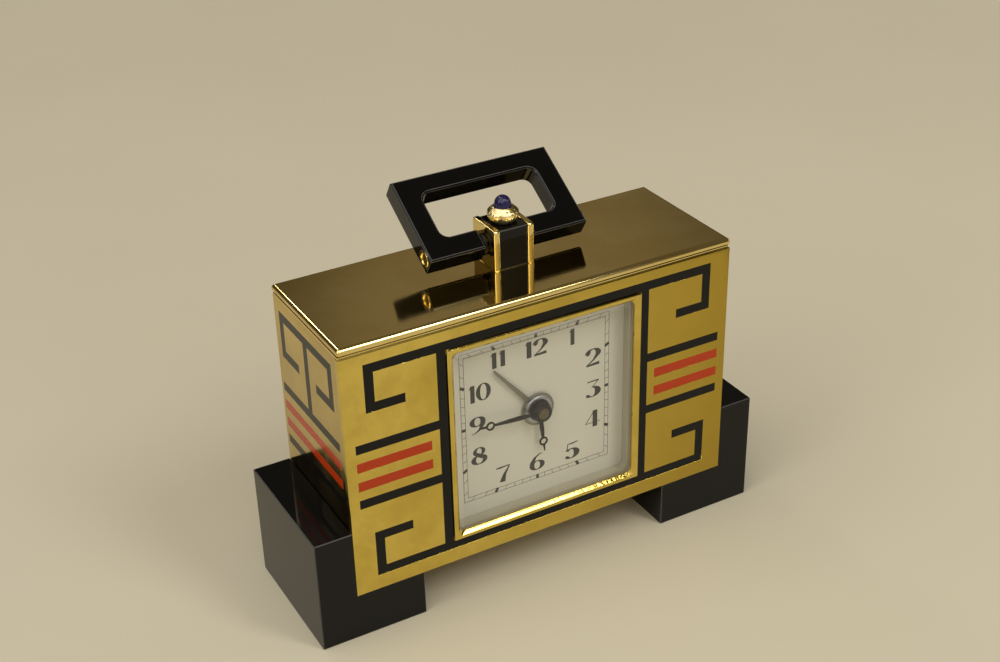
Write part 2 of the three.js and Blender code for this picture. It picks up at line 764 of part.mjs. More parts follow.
// A toothed outline. Each tooth is a flat-topped wedge, thin enough to leave backlash at the pitch circle.
function toothedShape(teeth, phase = 0) {
  const pitchRadius = (toothModule * teeth) / 2;
  const rootRadius = pitchRadius - toothModule * dedendum;
  const tipRadius = pitchRadius + toothModule * addendum;
  const pitch = (Math.PI * 2) / teeth;
  const corners = [
    [-toothRootShare, rootRadius],
    [-toothTipShare, tipRadius],
    [toothTipShare, tipRadius],
    [toothRootShare, rootRadius],
  ];
  const points = [];
  for (let i = 0; i < teeth; i += 1) {
    for (const [share, radius] of corners) {
      const angle = phase + (i + share) * pitch;
      points.push(new THREE.Vector2(radius * Math.cos(angle), radius * Math.sin(angle)));
    }
  }
  return new THREE.Shape(points);
}

// Phases that put a tooth, or the gap between two teeth, in the given direction.
function toothAt(degrees) {
  return THREE.MathUtils.degToRad(degrees);
}

function gapAt(degrees, teeth) {
  return toothAt(degrees) + Math.PI / teeth;
}

function addTrain() {
  const minuteFront = dialFront - minuteHandLift - handThickness;
  const knobBack = coverBack + knobGap + timeKnobHeight;
  const arbor = turnedAlongY([
    [0, minuteFront],
    [arborRadius, minuteFront],
    [arborRadius, cannonFront + cannonLength / 2],
    [rearArborRadius, cannonFront + cannonLength / 2],
    [rearArborRadius, midPlateFront - bearingGap - shoulderThickness],
    [shoulderRadius, midPlateFront - bearingGap - shoulderThickness],
    [shoulderRadius, midPlateFront - bearingGap],
    [rearArborRadius, midPlateFront - bearingGap],
    [rearArborRadius, knobBack - knobGap * 2],
    [0, knobBack - knobGap * 2],
  ]);
  const cannon = slab(toothedShape(cannonTeeth, toothAt(intermediateDirection)), cannonFront, cannonBack);
  addPiece("minute_arbor", "brass", joined(arbor, cannon), centre);

  const wheelFront = cannonFront + bearingGap;
  const wheelBack = wheelFront + wheelThickness;
  const towardsCentre = intermediateDirection + 180;
  const wheelPhase = gapAt(towardsCentre, intermediateTeeth);
  const wheel = slab(toothedShape(intermediateTeeth, wheelPhase), wheelFront, wheelBack);
  const pinion = slab(
    toothedShape(intermediatePinionTeeth, gapAt(towardsCentre, intermediatePinionTeeth)),
    alarmWheelBack + bearingGap, wheelFront + wheelThickness / 2,
  );
  const studPath = rod(studRadius, dialBack + bearingGap, midPlateBack - bearingGap);
  const stud = turnedAlongY(studPath, smallCircleSteps);
  const intermediate = addPiece("intermediate_wheel", "brass", joined(wheel, pinion, stud));
  intermediate.position.set(intermediateX, 0, intermediateZ);

  const hourFront = dialFront - hourHandLift - handThickness;
  const hourTeethShape = toothedShape(hourTeeth, toothAt(intermediateDirection));
  const hourDisc = slab(hourTeethShape, hourWheelFront, hourWheelBack);
  const hourPipe = turnedAlongY(rod(hourPipeRadius, hourFront, hourWheelFront + wheelThickness / 2));
  const hourBore = turnedAlongY(rod(hourPipeBore, hourFront - 1, hourWheelBack + 1));
  addPiece("hour_wheel", "brass", cut(joined(hourDisc, hourPipe), hourBore), centre);

  const alarmFront = dialFront - alarmHandLift - alarmHandThickness;
  const alarmDisc = slab(toothedShape(alarmTeeth, toothAt(alarmDirection)), alarmWheelFront, alarmWheelBack);
  const alarmPipe = turnedAlongY(rod(alarmPipeRadius, alarmFront, alarmWheelFront + wheelThickness / 2));
  const alarmBore = turnedAlongY(rod(alarmPipeBore, alarmFront - 1, alarmWheelBack + 1));
  addPiece("alarm_wheel", "brass", cut(joined(alarmDisc, alarmPipe), alarmBore), centre);

  const shaftBack = coverBack + knobGap + alarmKnobHeight - knobGap * 2;
  const settingPhase = gapAt(alarmDirection + 180, alarmSettingTeeth);
  const settingWheel = slab(toothedShape(alarmSettingTeeth, settingPhase), alarmWheelFront, alarmWheelBack);
  const shaft = turnedAlongY([
    [0, dialBack + bearingGap],
    [shaftRadius, dialBack + bearingGap],
    [shaftRadius, midPlateFront - bearingGap - shoulderThickness],
    [shaftRadius * 2, midPlateFront - bearingGap - shoulderThickness],
    [shaftRadius * 2, midPlateFront - bearingGap],
    [shaftRadius, midPlateFront - bearingGap],
    [shaftRadius, shaftBack],
    [0, shaftBack],
  ], smallCircleSteps);
  addPiece("alarm_shaft", "brass", joined(settingWheel, shaft)).position.set(alarmShaftX, 0, alarmShaftZ);
}

function addHousing() {
  const low = windowCentreZ - housingHalf;
  const high = windowCentreZ + housingHalf;
  const wide = housingHalfWidth;
  const inner = housingInnerX;
  const bearing = (radius, x, z) => {
    const hole = turnedAlongY(rod(radius + bearingGap, dialBack - 1, coverFront), smallCircleSteps);
    return hole.translate(x, 0, z);
  };
  const frontBox = block([-wide, dialBack, low], [wide, midPlateFront, high]);
  const wheelSpace = block(
    [-inner, wheelRoomFront, low + housingWall], [inner, midPlateFront + 1, high - housingWall],
  );
  addPiece("movement_front", "moulding", cut(
    frontBox, wheelSpace,
    bearing(alarmPipeRadius, 0, windowCentreZ),
    bearing(studRadius, intermediateX, intermediateZ),
    bearing(shaftRadius, alarmShaftX, alarmShaftZ),
  ));

  const rearBack = midPlateBack + rearRoom;
  const bayFront = batteryY - batteryRadius - batteryGap;
  const plate = block([-wide, midPlateFront, low], [wide, midPlateBack, high]);
  const upperBox = block([-wide, midPlateFront, bayTop - housingWall], [wide, rearBack, high]);
  const bayBox = block([-wide, bayFront - housingWall, bayLow], [wide, coverFront - hatchGap, bayTop]);
  const upperSpace = block([-inner, midPlateBack, bayTop], [inner, rearBack + 1, high - housingWall]);
  const baySpace = block(
    [-inner, bayFront, bayLow + housingWall], [inner, coverFront + 1, bayTop - housingWall],
  );
  const posts = [];
  for (const x of [boardLowX + boardPostInset, boardHighX - boardPostInset]) {
    const length = rod(boardPostRadius, midPlateBack - housingWall / 2, boardFront);
    posts.push(turnedAlongY(length, smallCircleSteps).translate(x, 0, (boardLowZ + boardHighZ) / 2));
  }
  addPiece("movement_back", "moulding", cut(
    joined(cut(joined(plate, upperBox), upperSpace), cut(bayBox, baySpace), ...posts),
    bearing(rearArborRadius, 0, windowCentreZ),
    bearing(studRadius, intermediateX, intermediateZ),
    bearing(shaftRadius, alarmShaftX, alarmShaftZ),
  ));

  const half = batteryLength / 2;
  const cell = turnedAlongX([
    [0, -half],
    [batteryRadius, -half],
    [batteryRadius, half],
    [batteryNubRadius, half],
    [batteryNubRadius, half + batteryNub],
    [0, half + batteryNub],
  ]);
  addPiece("battery", "batteryWrap", cell).position.set(-batteryNub / 2, batteryY, batteryZ);
  addBatteryContact(half);
}

// The contact is a strip against the bay's end wall, bowed out to press on the battery's flat end.
function addBatteryContact(batteryHalf) {
  const wallX = -housingInnerX + slidingGap;
  const reach = housingInnerX - slidingGap - batteryHalf - batteryNub / 2 - slidingGap;
  const width = batteryRadius * 0.8;
  const bow = new THREE.Shape();
  bow.moveTo(wallX, -width);
  bow.lineTo(wallX + contactThickness, -width);
  bow.lineTo(wallX + reach, 0);
  bow.lineTo(wallX + contactThickness, width);
  bow.lineTo(wallX, width);
  bow.lineTo(wallX + reach - contactThickness, 0);
  bow.closePath();
  const strip = slab(bow, -width / 2, width / 2);
  addPiece("battery_contact", "greySteel", strip).position.set(0, batteryY, batteryZ);
}

function addElectrics() {
  const board = block([boardLowX, boardFront, boardLowZ], [boardHighX, boardBack, boardHighZ]);
  const quartzX = boardHighX - quartzFromEnd;
  const can = block(
    [quartzX - quartzLength / 2, boardFront - quartzHeight, boardLowZ + quartzEdge],
    [quartzX + quartzLength / 2, boardFront + boardThickness / 2, boardLowZ + quartzEdge + quartzWidth],
  );
  const switchBlock = block(
    [switchX - switchHalf, boardFront, switchZ - switchKnobHeight / 2],
    [switchX + switchHalf, boardBack + switchBlockHeight, switchZ + switchKnobHeight / 2],
  );
  addPiece("circuit_board", "circuit", joined(board, can, switchBlock));

  const half = coilLength / 2;
  const coil = turnedAlongX([
    [0, -half],
    [coilFlangeRadius, -half],
    [coilFlangeRadius, -half + coilFlange],
    [coilRadius, -half + coilFlange],
    [coilRadius, half - coilFlange],
    [coilFlangeRadius, half - coilFlange],
    [coilFlangeRadius, half],
    [0, half],
  ], smallCircleSteps);
  addPiece("coil", "copper", coil).position.set(
    -housingInnerX + coilGap + half, midPlateBack + coilFlangeRadius + slidingGap,
    bayTop + coilRise + coilFlangeRadius,
  );

  const buzzer = turnedAlongY(rod(buzzerRadius, 0, buzzerThickness));
  addPiece("buzzer", "blackSteel", buzzer).position.set(
    housingInnerX - buzzerGap - buzzerRadius, midPlateBack, bayTop + buzzerRise + buzzerRadius,
  );
}

function flutedKnob(radius, flutes, frontY, backY, bore) {
  const shape = new THREE.Shape();
  const steps = flutes * 4;
  for (let i = 0; i < steps; i += 1) {
    const angle = (i / steps) * Math.PI * 2;
    const here = radius - (i % 4 < 2 ? 0 : knobFluteDepth);
    if (i === 0) {
      shape.moveTo(here * Math.cos(angle), here * Math.sin(angle));
    } else {
      shape.lineTo(here * Math.cos(angle), here * Math.sin(angle));
    }
  }
  shape.closePath();
  const socket = turnedAlongY(rod(bore, frontY - 1, backY - knobGap), smallCircleSteps);
  return cut(slab(shape, frontY, backY), socket);
}

function addBack() {
  const half = sideInner - slidingGap;
  const cover = block([-half, coverFront, floorTop + slidingGap], [half, coverBack, caseTop - slidingGap]);
  const through = (radius, x, z) => {
    return turnedAlongY(rod(radius, coverFront - 1, coverBack + 1), smallCircleSteps).translate(x, 0, z);
  };
  const hatchOpening = block(
    [-hatchHalfWidth, coverFront - 1, hatchLow], [hatchHalfWidth, coverBack + 1, hatchHigh],
  );
  const slotHalf = switchTravel / 2 + switchStem / 2 + slidingGap;
  const slot = block(
    [switchX - slotHalf, coverFront - 1, switchZ - switchStem / 2 - slidingGap],
    [switchX + slotHalf, coverBack + 1, switchZ + switchStem / 2 + slidingGap],
  );
  const screwHoles = coverScrewPlaces().map(([x, z]) => through(coverScrewHole, x, z));
  addPiece("back_cover", "satinGold", cut(
    cover, hatchOpening, slot,
    through(rearArborRadius + bearingGap, 0, windowCentreZ),
    through(shaftRadius + bearingGap, alarmShaftX, alarmShaftZ),
    ...screwHoles,
  ));

  coverScrewPlaces().forEach(([x, z], index) => {
    const tip = coverFront - coverScrewLength + slidingGap;
    const screw = turnedAlongY([
      [0, tip],
      [coverScrewRadius, tip],
      [coverScrewRadius, coverBack],
      [coverScrewHead, coverBack],
      [coverScrewHead, coverBack + coverScrewHeadHeight * 0.6],
      [coverScrewHead * 0.75, coverBack + coverScrewHeadHeight],
      [0, coverBack + coverScrewHeadHeight],
    ], smallCircleSteps);
    addPiece(`back_cover_screw_${index + 1}`, "mirrorGold", screw).position.set(x, 0, z);
  });

  const knobFront = coverBack + knobGap;
  const timeBack = knobFront + timeKnobHeight;
  const timeBore = rearArborRadius + bezelFit;
  const timeKnob = flutedKnob(timeKnobRadius, timeKnobFlutes, knobFront, timeBack, timeBore);
  addPiece("time_knob", "mirrorGold", timeKnob, centre);
  const alarmBack = knobFront + alarmKnobHeight;
  const alarmBore = shaftRadius + bezelFit;
  const alarmKnob = flutedKnob(alarmKnobRadius, alarmKnobFlutes, knobFront, alarmBack, alarmBore);
  addPiece("alarm_knob", "mirrorGold", alarmKnob).position.set(alarmShaftX, 0, alarmShaftZ);

  addAlarmSwitch();
  addHatch();
}

// The slide's knob, its stem through the slot, and a flange and finger inside that works the contact block.
function addAlarmSwitch() {
  const x = switchX - switchTravel / 2;
  const flangeHalf = switchStem / 2 + switchFlange;
  const knob = block(
    [x - switchKnobWidth / 2, coverBack + slidingGap, switchZ - switchKnobHeight / 2],
    [x + switchKnobWidth / 2, coverBack + slidingGap + switchKnobProud, switchZ + switchKnobHeight / 2],
  );
  const stem = block(
    [x - switchStem / 2, coverFront - slidingGap - switchFlangeThickness, switchZ - switchStem / 2],
    [x + switchStem / 2, coverBack + switchKnobProud / 2, switchZ + switchStem / 2],
  );
  const flangeBack = coverFront - slidingGap;
  const flange = block(
    [x - flangeHalf, flangeBack - switchFlangeThickness, switchZ - flangeHalf],
    [x + flangeHalf, flangeBack, switchZ + flangeHalf],
  );
  const finger = block(
    [x - switchStem / 2, boardBack + switchBlockHeight + slidingGap, switchZ - switchStem / 2],
    [x + switchStem / 2, flangeBack - switchFlangeThickness / 2, switchZ + switchStem / 2],
  );
  addPiece("alarm_switch", "blackSteel", joined(knob, stem, flange, finger));
}

function addHatch() {
  const halfWidth = hatchHalfWidth - hatchGap;
  const low = hatchLow + hatchGap;
  const high = hatchHigh - hatchGap;
  const parts = [block([-halfWidth, coverFront, low], [halfWidth, coverBack, high])];
  for (const [z0, z1] of [[low, low + hatchTabThickness], [high - hatchTabThickness, high]]) {
    for (const side of [1, -1]) {
      const x0 = (halfWidth - hatchTabWidth) * side;
      const x1 = halfWidth * side;
      parts.push(block(
        [Math.min(x0, x1), coverFront - hatchTabDepth, z0],
        [Math.max(x0, x1), coverFront + coverThickness / 2, z1],
      ));
    }
  }
  addPiece("battery_hatch", "satinGold", joined(...parts));
}

function addPost() {
  const halfDepth = cheekHalfDepth - coreSetback;
  const pinPath = turnedAlongX(rod(pinHole, -postHalfWidth - 1, postHalfWidth + 1), smallCircleSteps);
  pinPath.translate(0, postY, pivotZ);
  const screwHole = rod(postScrewHole, topFace - 1, topFace + postScrewDepth);
  const screwPath = turnedAlongZ(screwHole, smallCircleSteps).translate(0, postY, 0);
  const core = block(
    [-coreHalfWidth, postY - halfDepth, topFace],
    [coreHalfWidth, postY + halfDepth, coreTop],
  );
  addPiece("post_core", "blackStone", cut(core, pinPath, screwPath));

  for (const [place, side] of [["left", -1], ["right", 1]]) {
    const outline = new THREE.Shape();
    outline.moveTo(-cheekHalfDepth, 0);
    outline.lineTo(cheekHalfDepth, 0);
    outline.lineTo(cheekHalfDepth, postHeight - cheekCorner);
    outline.absarc(cheekHalfDepth - cheekCorner, postHeight - cheekCorner, cheekCorner, 0, Math.PI / 2);
    outline.absarc(
      -cheekHalfDepth + cheekCorner, postHeight - cheekCorner, cheekCorner, Math.PI / 2, Math.PI,
    );
    outline.closePath();
    const cheek = new THREE.ExtrudeGeometry(outline, {
      depth: cheekThickness,
      bevelEnabled: false,
      curveSegments: arcSteps,
    });
    const inside = side > 0 ? coreHalfWidth : -postHalfWidth;
    const upright = new THREE.Matrix4().set(0, 0, 1, inside, 1, 0, 0, postY, 0, 1, 0, topFace, 0, 0, 0, 1);
    cheek.applyMatrix4(upright);
    addPiece(`${place}_cheek`, "mirrorGold", cut(cheek, pinPath));
  }

  const tip = topFace + postScrewDepth - slidingGap;
  const screw = turnedAlongZ([
    [0, caseTop - postScrewHeadHeight],
    [postScrewHead, caseTop - postScrewHeadHeight],
    [postScrewHead, caseTop],
    [postScrewRadius, caseTop],
    [postScrewRadius, tip],
    [0, tip],
  ], smallCircleSteps);
  addPiece("post_screw", "greySteel", screw.translate(0, postY, 0));
}

function addFinial() {
  const seatRadius = cabochonRadius + cabochonGap;
  const collar = turnedAlongZ([
    [0, 0],
    [collarRadius * 0.68, 0],
    [collarRadius * 0.66, collarHeight * 0.2],
    [collarRadius * 0.78, collarHeight * 0.38],
    [collarRadius * 0.95, collarHeight * 0.5],
    [collarRadius, collarHeight * 0.64],
    [collarRadius * 0.95, collarHeight * 0.8],
    [collarRadius * 0.84, collarHeight * 0.9],
    [seatRadius + 0.35, collarHeight],
    [seatRadius, collarHeight],
    [seatRadius, collarSeat],
    [0, collarSeat],
  ]);
  addPiece("gem_collar", "mirrorGold", collar).position.set(0, postY, coreTop);

  const dome = [[0, 0], [cabochonRadius, 0]];
  const domeSteps = 7;
  const straight = cabochonHeight * 0.12;
  for (let i = 0; i < domeSteps; i += 1) {
    const angle = (i / domeSteps) * (Math.PI / 2);
    dome.push([cabochonRadius * Math.cos(angle), straight + (cabochonHeight - straight) * Math.sin(angle)]);
  }
  dome.push([0, cabochonHeight]);
  addPiece("cabochon", "blueStone", turnedAlongZ(dome)).position.set(0, postY, coreTop + collarSeat);
}

// The loop is open where the post stands, so its lower bar is two stubs that the pin runs through.
function loopOutline(stubEnd) {
  const shape = new THREE.Shape();
  shape.moveTo(stubEnd, -handleBelowPivot);
  shape.lineTo(handleHalfWidth, -handleBelowPivot);
  shape.lineTo(handleHalfWidth, handleAbovePivot);
  shape.lineTo(-handleHalfWidth, handleAbovePivot);
  shape.lineTo(-handleHalfWidth, -handleBelowPivot);
  shape.lineTo(-stubEnd, -handleBelowPivot);
  shape.lineTo(-stubEnd, loopLow);
  const insideX = loopHalfWidth - loopCorner;
  shape.lineTo(-insideX, loopLow);
  shape.absarc(-insideX, loopLow + loopCorner, loopCorner, Math.PI * 1.5, Math.PI, true);
  shape.absarc(-insideX, loopHigh - loopCorner, loopCorner, Math.PI, Math.PI / 2, true);
  shape.absarc(insideX, loopHigh - loopCorner, loopCorner, Math.PI / 2, 0, true);
  shape.absarc(insideX, loopLow + loopCorner, loopCorner, 0, -Math.PI / 2, true);
  shape.lineTo(stubEnd, loopLow);
  return shape;
}

function addHandle() {
  const handle = new THREE.Group();
  handle.position.set(0, postY, pivotZ);
  handle.rotation.x = THREE.MathUtils.degToRad(-handleLean);
  clock.add(handle);

  const stubEnd = postHalfWidth + spacerThickness + 2 * spacerGap;
  const half = handleThickness / 2;
  const loop = softSlab(loopOutline(stubEnd), -half, half, handleChamfer, 1);
  const pinPath = turnedAlongX(rod(pinHole, -handleHalfWidth - 1, handleHalfWidth + 1), smallCircleSteps);
  const recessFloor = handleHalfWidth - pinHeadRecess;
  const recesses = [
    turnedAlongX(rod(pinHeadRadius + pinHeadGap, recessFloor, handleHalfWidth + 1), smallCircleSteps),
    turnedAlongX(rod(pinHeadRadius + pinHeadGap, -handleHalfWidth - 1, -recessFloor), smallCircleSteps),
  ];
  addPiece("handle_loop", "blackStone", cut(loop, pinPath, ...recesses), handle);

  const headInside = recessFloor + pinHeadGap;
  addPiece("handle_pin", "mirrorGold", turnedAlongX([
    [0, -headInside - pinHeadThickness],
    [pinHeadRadius, -headInside - pinHeadThickness],
    [pinHeadRadius, -headInside],
    [pinRadius, -headInside],
    [pinRadius, recessFloor],
    [0, recessFloor],
  ], smallCircleSteps), handle);
  const capStart = headInside;
  addPiece("handle_pin_cap", "mirrorGold", turnedAlongX(
    rod(pinHeadRadius, capStart, capStart + pinHeadThickness), smallCircleSteps,
  ), handle);

  for (const [place, side] of [["left", -1], ["right", 1]]) {
    const inside = postHalfWidth + spacerGap;
    const outside = inside + spacerThickness;
    const disc = turnedAlongX(rod(spacerRadius, Math.min(inside * side, outside * side),
      Math.max(inside * side, outside * side)), smallCircleSteps);
    const eye = turnedAlongX(rod(pinHole, -outside - 1, outside + 1), smallCircleSteps);
    addPiece(`${place}_spacer`, "blackSteel", cut(disc, eye), handle);
  }
}

addFrontPlate();
addCaseShell();
addTopPlate();
addFeet();
addWindow();
addHands();
addTrain();
addHousing();
addElectrics();
addBack();
addPost();
addFinial();
addHandle();

// The origin is under the middle of the whole outline, from the bezel's face to the time knob's end.
const frontReach = frontFace - bezelProud;
const backReach = coverBack + knobGap + timeKnobHeight;
clock.position.y = -(frontReach + backReach) / 2;

const part = new THREE.Group();
part.add(clock);

export default part;
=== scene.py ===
"""A small desk alarm clock: a gold plated case with black and red lacquer on two black stone feet.

Everything is in metres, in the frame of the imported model, and lengths are written as so many mm.
"""

import math

import bmesh
import bpy
from mathutils import Matrix, Vector
from mathutils.geometry import delaunay_2d_cdt


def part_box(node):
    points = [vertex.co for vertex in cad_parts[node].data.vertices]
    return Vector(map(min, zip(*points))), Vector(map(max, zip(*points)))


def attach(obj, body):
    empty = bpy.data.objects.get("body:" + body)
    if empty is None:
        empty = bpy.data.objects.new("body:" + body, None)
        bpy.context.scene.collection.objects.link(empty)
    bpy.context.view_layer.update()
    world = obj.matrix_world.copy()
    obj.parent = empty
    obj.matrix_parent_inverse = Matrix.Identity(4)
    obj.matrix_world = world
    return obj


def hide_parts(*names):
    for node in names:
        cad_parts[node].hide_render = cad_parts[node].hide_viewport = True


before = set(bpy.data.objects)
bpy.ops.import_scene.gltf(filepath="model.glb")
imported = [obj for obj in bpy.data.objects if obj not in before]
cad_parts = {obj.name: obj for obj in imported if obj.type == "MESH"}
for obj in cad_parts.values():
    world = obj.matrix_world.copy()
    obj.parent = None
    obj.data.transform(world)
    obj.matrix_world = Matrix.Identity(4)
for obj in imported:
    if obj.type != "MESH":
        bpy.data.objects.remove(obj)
bpy.context.view_layer.update()
mm = 0.001


# Camera. It looks down on the clock from in front of its left corner, through a normal lens, and leans
# a little to the left.
def add_object(name, data):
    thing = bpy.data.objects.new(name, data)
    bpy.context.scene.collection.objects.link(thing)
    return thing


azimuth, elevation, roll = (math.radians(angle) for angle in (-28.817, 29.208, -1.495))
looked_at = Vector((-1.749, -1.75, 52.361)) * mm
camera_distance = 327.216 * mm
backward = Vector((
    math.sin(azimuth) * math.cos(elevation),
    -math.cos(azimuth) * math.cos(elevation),
    math.sin(elevation),
))
level_right = Vector((math.cos(azimuth), math.sin(azimuth), 0.0))
level_up = backward.cross(level_right)
camera_right = level_right * math.cos(roll) + level_up * math.sin(roll)
camera_up = level_up * math.cos(roll) - level_right * math.sin(roll)
camera = add_object("camera", bpy.data.cameras.new("camera"))
camera.data.lens = 55.751
camera.data.sensor_width = 36.0
camera.data.clip_start = 10 * mm
camera.matrix_world = (
    Matrix.Translation(looked_at + backward * camera_distance)
    @ Matrix((camera_right, camera_up, backward)).transposed().to_4x4()
)
bpy.context.scene.camera = camera
bpy.context.scene.view_settings.view_transform = "Standard"


# Table and light. The clock stands on a plain pale table in a soft studio: a bright ceiling, dim walls with
# a few soft bright patches, and four small soft lamps round it.
def operator(operation):
    return lambda wire, other: wire.net.maths(operation, wire, other)


class Wire:
    """An output of a node, on which sums can be written."""

    def __init__(self, net, socket):
        self.net = net
        self.socket = socket

    __add__ = __radd__ = operator("ADD")
    __sub__ = operator("SUBTRACT")
    __mul__ = __rmul__ = operator("MULTIPLY")
    __truediv__ = operator("DIVIDE")
    __pow__ = operator("POWER")


class Net:
    """A node tree under work. It adds nodes by type, inputs and settings, and hands back their outputs."""

    def __init__(self, tree):
        self.tree = tree
        tree.nodes.clear()

    def add(self, kind, inputs, output=0, **settings):
        node = self.tree.nodes.new(kind)
        for key, value in settings.items():
            setattr(node, key, value)
        for key, value in inputs.items():
            if isinstance(value, Wire):
                self.tree.links.new(value.socket, node.inputs[key])
            else:
                node.inputs[key].default_value = value
        return Wire(self, node.outputs[output]) if node.outputs else None

    def maths(self, operation, *values):
        return self.add("ShaderNodeMath", dict(enumerate(values)), operation=operation)

    def axis(self, place, name):
        return self.add("ShaderNodeSeparateXYZ", {"Vector": place}, name)

    def vector(self, **parts):
        return self.add("ShaderNodeCombineXYZ", parts)

    def tint(self, share, low, high):
        """A mix of two colours, each a Wire or its red, green and blue."""
        low, high = (colour if isinstance(colour, Wire) else (*colour, 1.0) for colour in (low, high))
        return self.add("ShaderNodeMix", {0: share, 6: low, 7: high}, 2, data_type="RGBA")

    def ramp(self, value, low, high, top=1.0, form="SMOOTHSTEP"):
        """Rises from 0 where the value is low to top where it is high."""
        inputs = {"Value": value, "From Min": low, "From Max": high, "To Max": top}
        return self.add("ShaderNodeMapRange", inputs, interpolation_type=form)

    def noise(self, place, scale, detail=3.0, roughness=0.55, turn=(0.0, 0.0, 0.0)):
        """Noise of one scale, or of a scale for each axis, which draws it out into streaks."""
        if isinstance(scale, tuple):
            place = self.add("ShaderNodeMapping", {"Vector": place, "Rotation": turn, "Scale": scale})
            scale = 1.0
        inputs = {"Vector": place, "Scale": scale, "Detail": detail, "Roughness": roughness}
        return self.add("ShaderNodeTexNoise", inputs)


finishes = {}


def add_finish(name, recipe, **fixed):
    """Makes a finish. The recipe returns what changes over the surface; the fixed values are the same
    all over it and are set on the shader itself."""
    material = bpy.data.materials.new(name)
    material.use_nodes = True
    net = Net(material.node_tree)
    place = net.add("ShaderNodeTexCoord", {}, "Object")
    varying = recipe(net, place)
    if "relief" in varying:
        height, depth = varying.pop("relief")
        varying["Normal"] = net.add("ShaderNodeBump", {"Height": height, "Distance": depth})
    named = {key.replace("_", " ").title().replace("Ior", "IOR"): value for key, value in fixed.items()}
    shader = net.add("ShaderNodeBsdfPrincipled", {**named, **varying})
    net.add("ShaderNodeOutputMaterial", {"Surface": shader})
    finishes[name] = material


def weigh(waves, shares, base=0.0):
    """A base and a share of each wave."""
    for wave, share in zip(waves, shares):
        if share:
            base = base + wave * share
    return base


def add_noisy_finish(name, low, high, noises, roughness, relief=None, cloudy=False, **fixed):
    """Makes a finish of noises, each given by its scale, detail and roughness. The first one mixes the
    colours low and high, and cloudy gives it clearer edges. The roughness is a base and a share of each
    noise, and the relief is a depth and a share of each."""
    def recipe(net, place):
        waves = [net.noise(place, *noise) for noise in noises]
        if cloudy:
            waves[0] = net.ramp(waves[0], 0.36, 0.64)
        varying = {
            "Base Color": net.tint(waves[0], low, high),
            "Roughness": weigh(waves, roughness[1:], roughness[0]),
        }
        if relief:
            varying["relief"] = (weigh(waves, relief[1:]), relief[0])
        return varying

    add_finish(name, recipe, **fixed)


add_noisy_finish("table_finish", (0.575, 0.53, 0.392), (0.625, 0.58, 0.442), [(6.0, 4.0)], (0.42, 0.1))
table_reach = 30.0
table_corners = [(x * table_reach, y * table_reach, 0.0) for x, y in ((-1, -1), (1, -1), (1, 1), (-1, 1))]
table_mesh = bpy.data.meshes.new("table")
table_mesh.from_pydata(table_corners, [], [(0, 1, 2, 3)])
table_mesh.materials.append(finishes["table_finish"])
table = add_object("table", table_mesh)

studio = bpy.data.worlds.new("studio")
studio.use_nodes = True
sky = Net(studio.node_tree)
direction = sky.add("ShaderNodeTexCoord", {}, "Generated")


def bright_wall(towards, edge, core, level):
    """A patch of the studio's wall that is lit, round the direction in which it lies."""
    towards = Vector(towards).normalized()
    aim = sky.add("ShaderNodeVectorMath", {0: direction, 1: towards}, "Value", operation="DOT_PRODUCT")
    return sky.ramp(aim, math.cos(math.radians(edge)), math.cos(math.radians(core)), level)


height = sky.axis(direction, "Z")
dim = 0.05 + 0.08 * height + bright_wall((0.43, 0.76, 0.48), 10.0, 3.0, 0.11)
lit = (
    bright_wall((-0.5, -0.12, 0.86), 51, 24, 1.35)
    + bright_wall((-0.85, -0.35, 0.62), 50, 16, 0.25)
    + bright_wall((0.05, -0.93, 0.36), 33, 12, 0.8)
)
hue = sky.tint(lit / (lit + dim), (1.0, 0.84, 0.62), (1.0, 0.95, 0.89))
backdrop = sky.add("ShaderNodeBackground", {"Color": hue, "Strength": dim + lit})
sky.add("ShaderNodeOutputWorld", {"Surface": backdrop})
bpy.context.scene.world = studio

lamp_target = Vector((0.0, 0.0, 0.04))


def hang_softbox(side, place, width, tall, power, colour):
    """A soft lamp that faces the middle of the clock."""
    lamp = bpy.data.lights.new(f"{side}_softbox", "AREA")
    lamp.shape = "RECTANGLE"
    lamp.size = width
    lamp.size_y = tall
    lamp.energy = power
    lamp.color = colour
    holder = add_object(f"{side}_softbox", lamp)
    holder.location = place
    holder.rotation_euler = (lamp_target - Vector(place)).to_track_quat("-Z", "Y").to_euler()


hang_softbox("left", (-0.9, -0.25, 0.6), 0.34, 0.34, 1.2, (1.0, 0.97, 0.92))
hang_softbox("front", (0.31, -0.56, 0.77), 0.2, 0.42, 2.6, (1.0, 0.98, 0.94))
hang_softbox("right", (0.85, -0.45, 0.45), 0.16, 0.16, 0.8, (1.0, 0.98, 0.94))
hang_softbox("back", (-0.12, 0.77, 0.63), 0.12, 0.12, 0.5, (1.0, 0.98, 0.94))


# Front plate. A 1.5 mm brass plate, satin gold plated, with shallow pockets cut for the lacquer and a
# square hole for the window. Its outer edges are eased by hand, so they catch the light.
sharp_angle, flat_angle = math.radians(28), math.radians(0.3)
weld = 1e-7
flat_slot, rounded_slot = 0, 1


def take_mesh(name, blank):
    """The plain mesh that an object's modifiers make of it. The object is removed."""
    mesh = bpy.data.meshes.new_from_object(blank.evaluated_get(bpy.context.evaluated_depsgraph_get()))
    bpy.data.objects.remove(blank)
    mesh.name = name
    return mesh


def to_plain_mesh(name, mesh, *modifiers):
    """Runs modifiers, each a type and its settings, on a mesh and returns the result as a plain mesh."""
    blank = add_object(name, mesh)
    for kind, settings in modifiers:
        modifier = blank.modifiers.new(kind.lower(), kind)
        for key, value in settings.items():
            setattr(modifier, key, value)
    return take_mesh(name, blank)


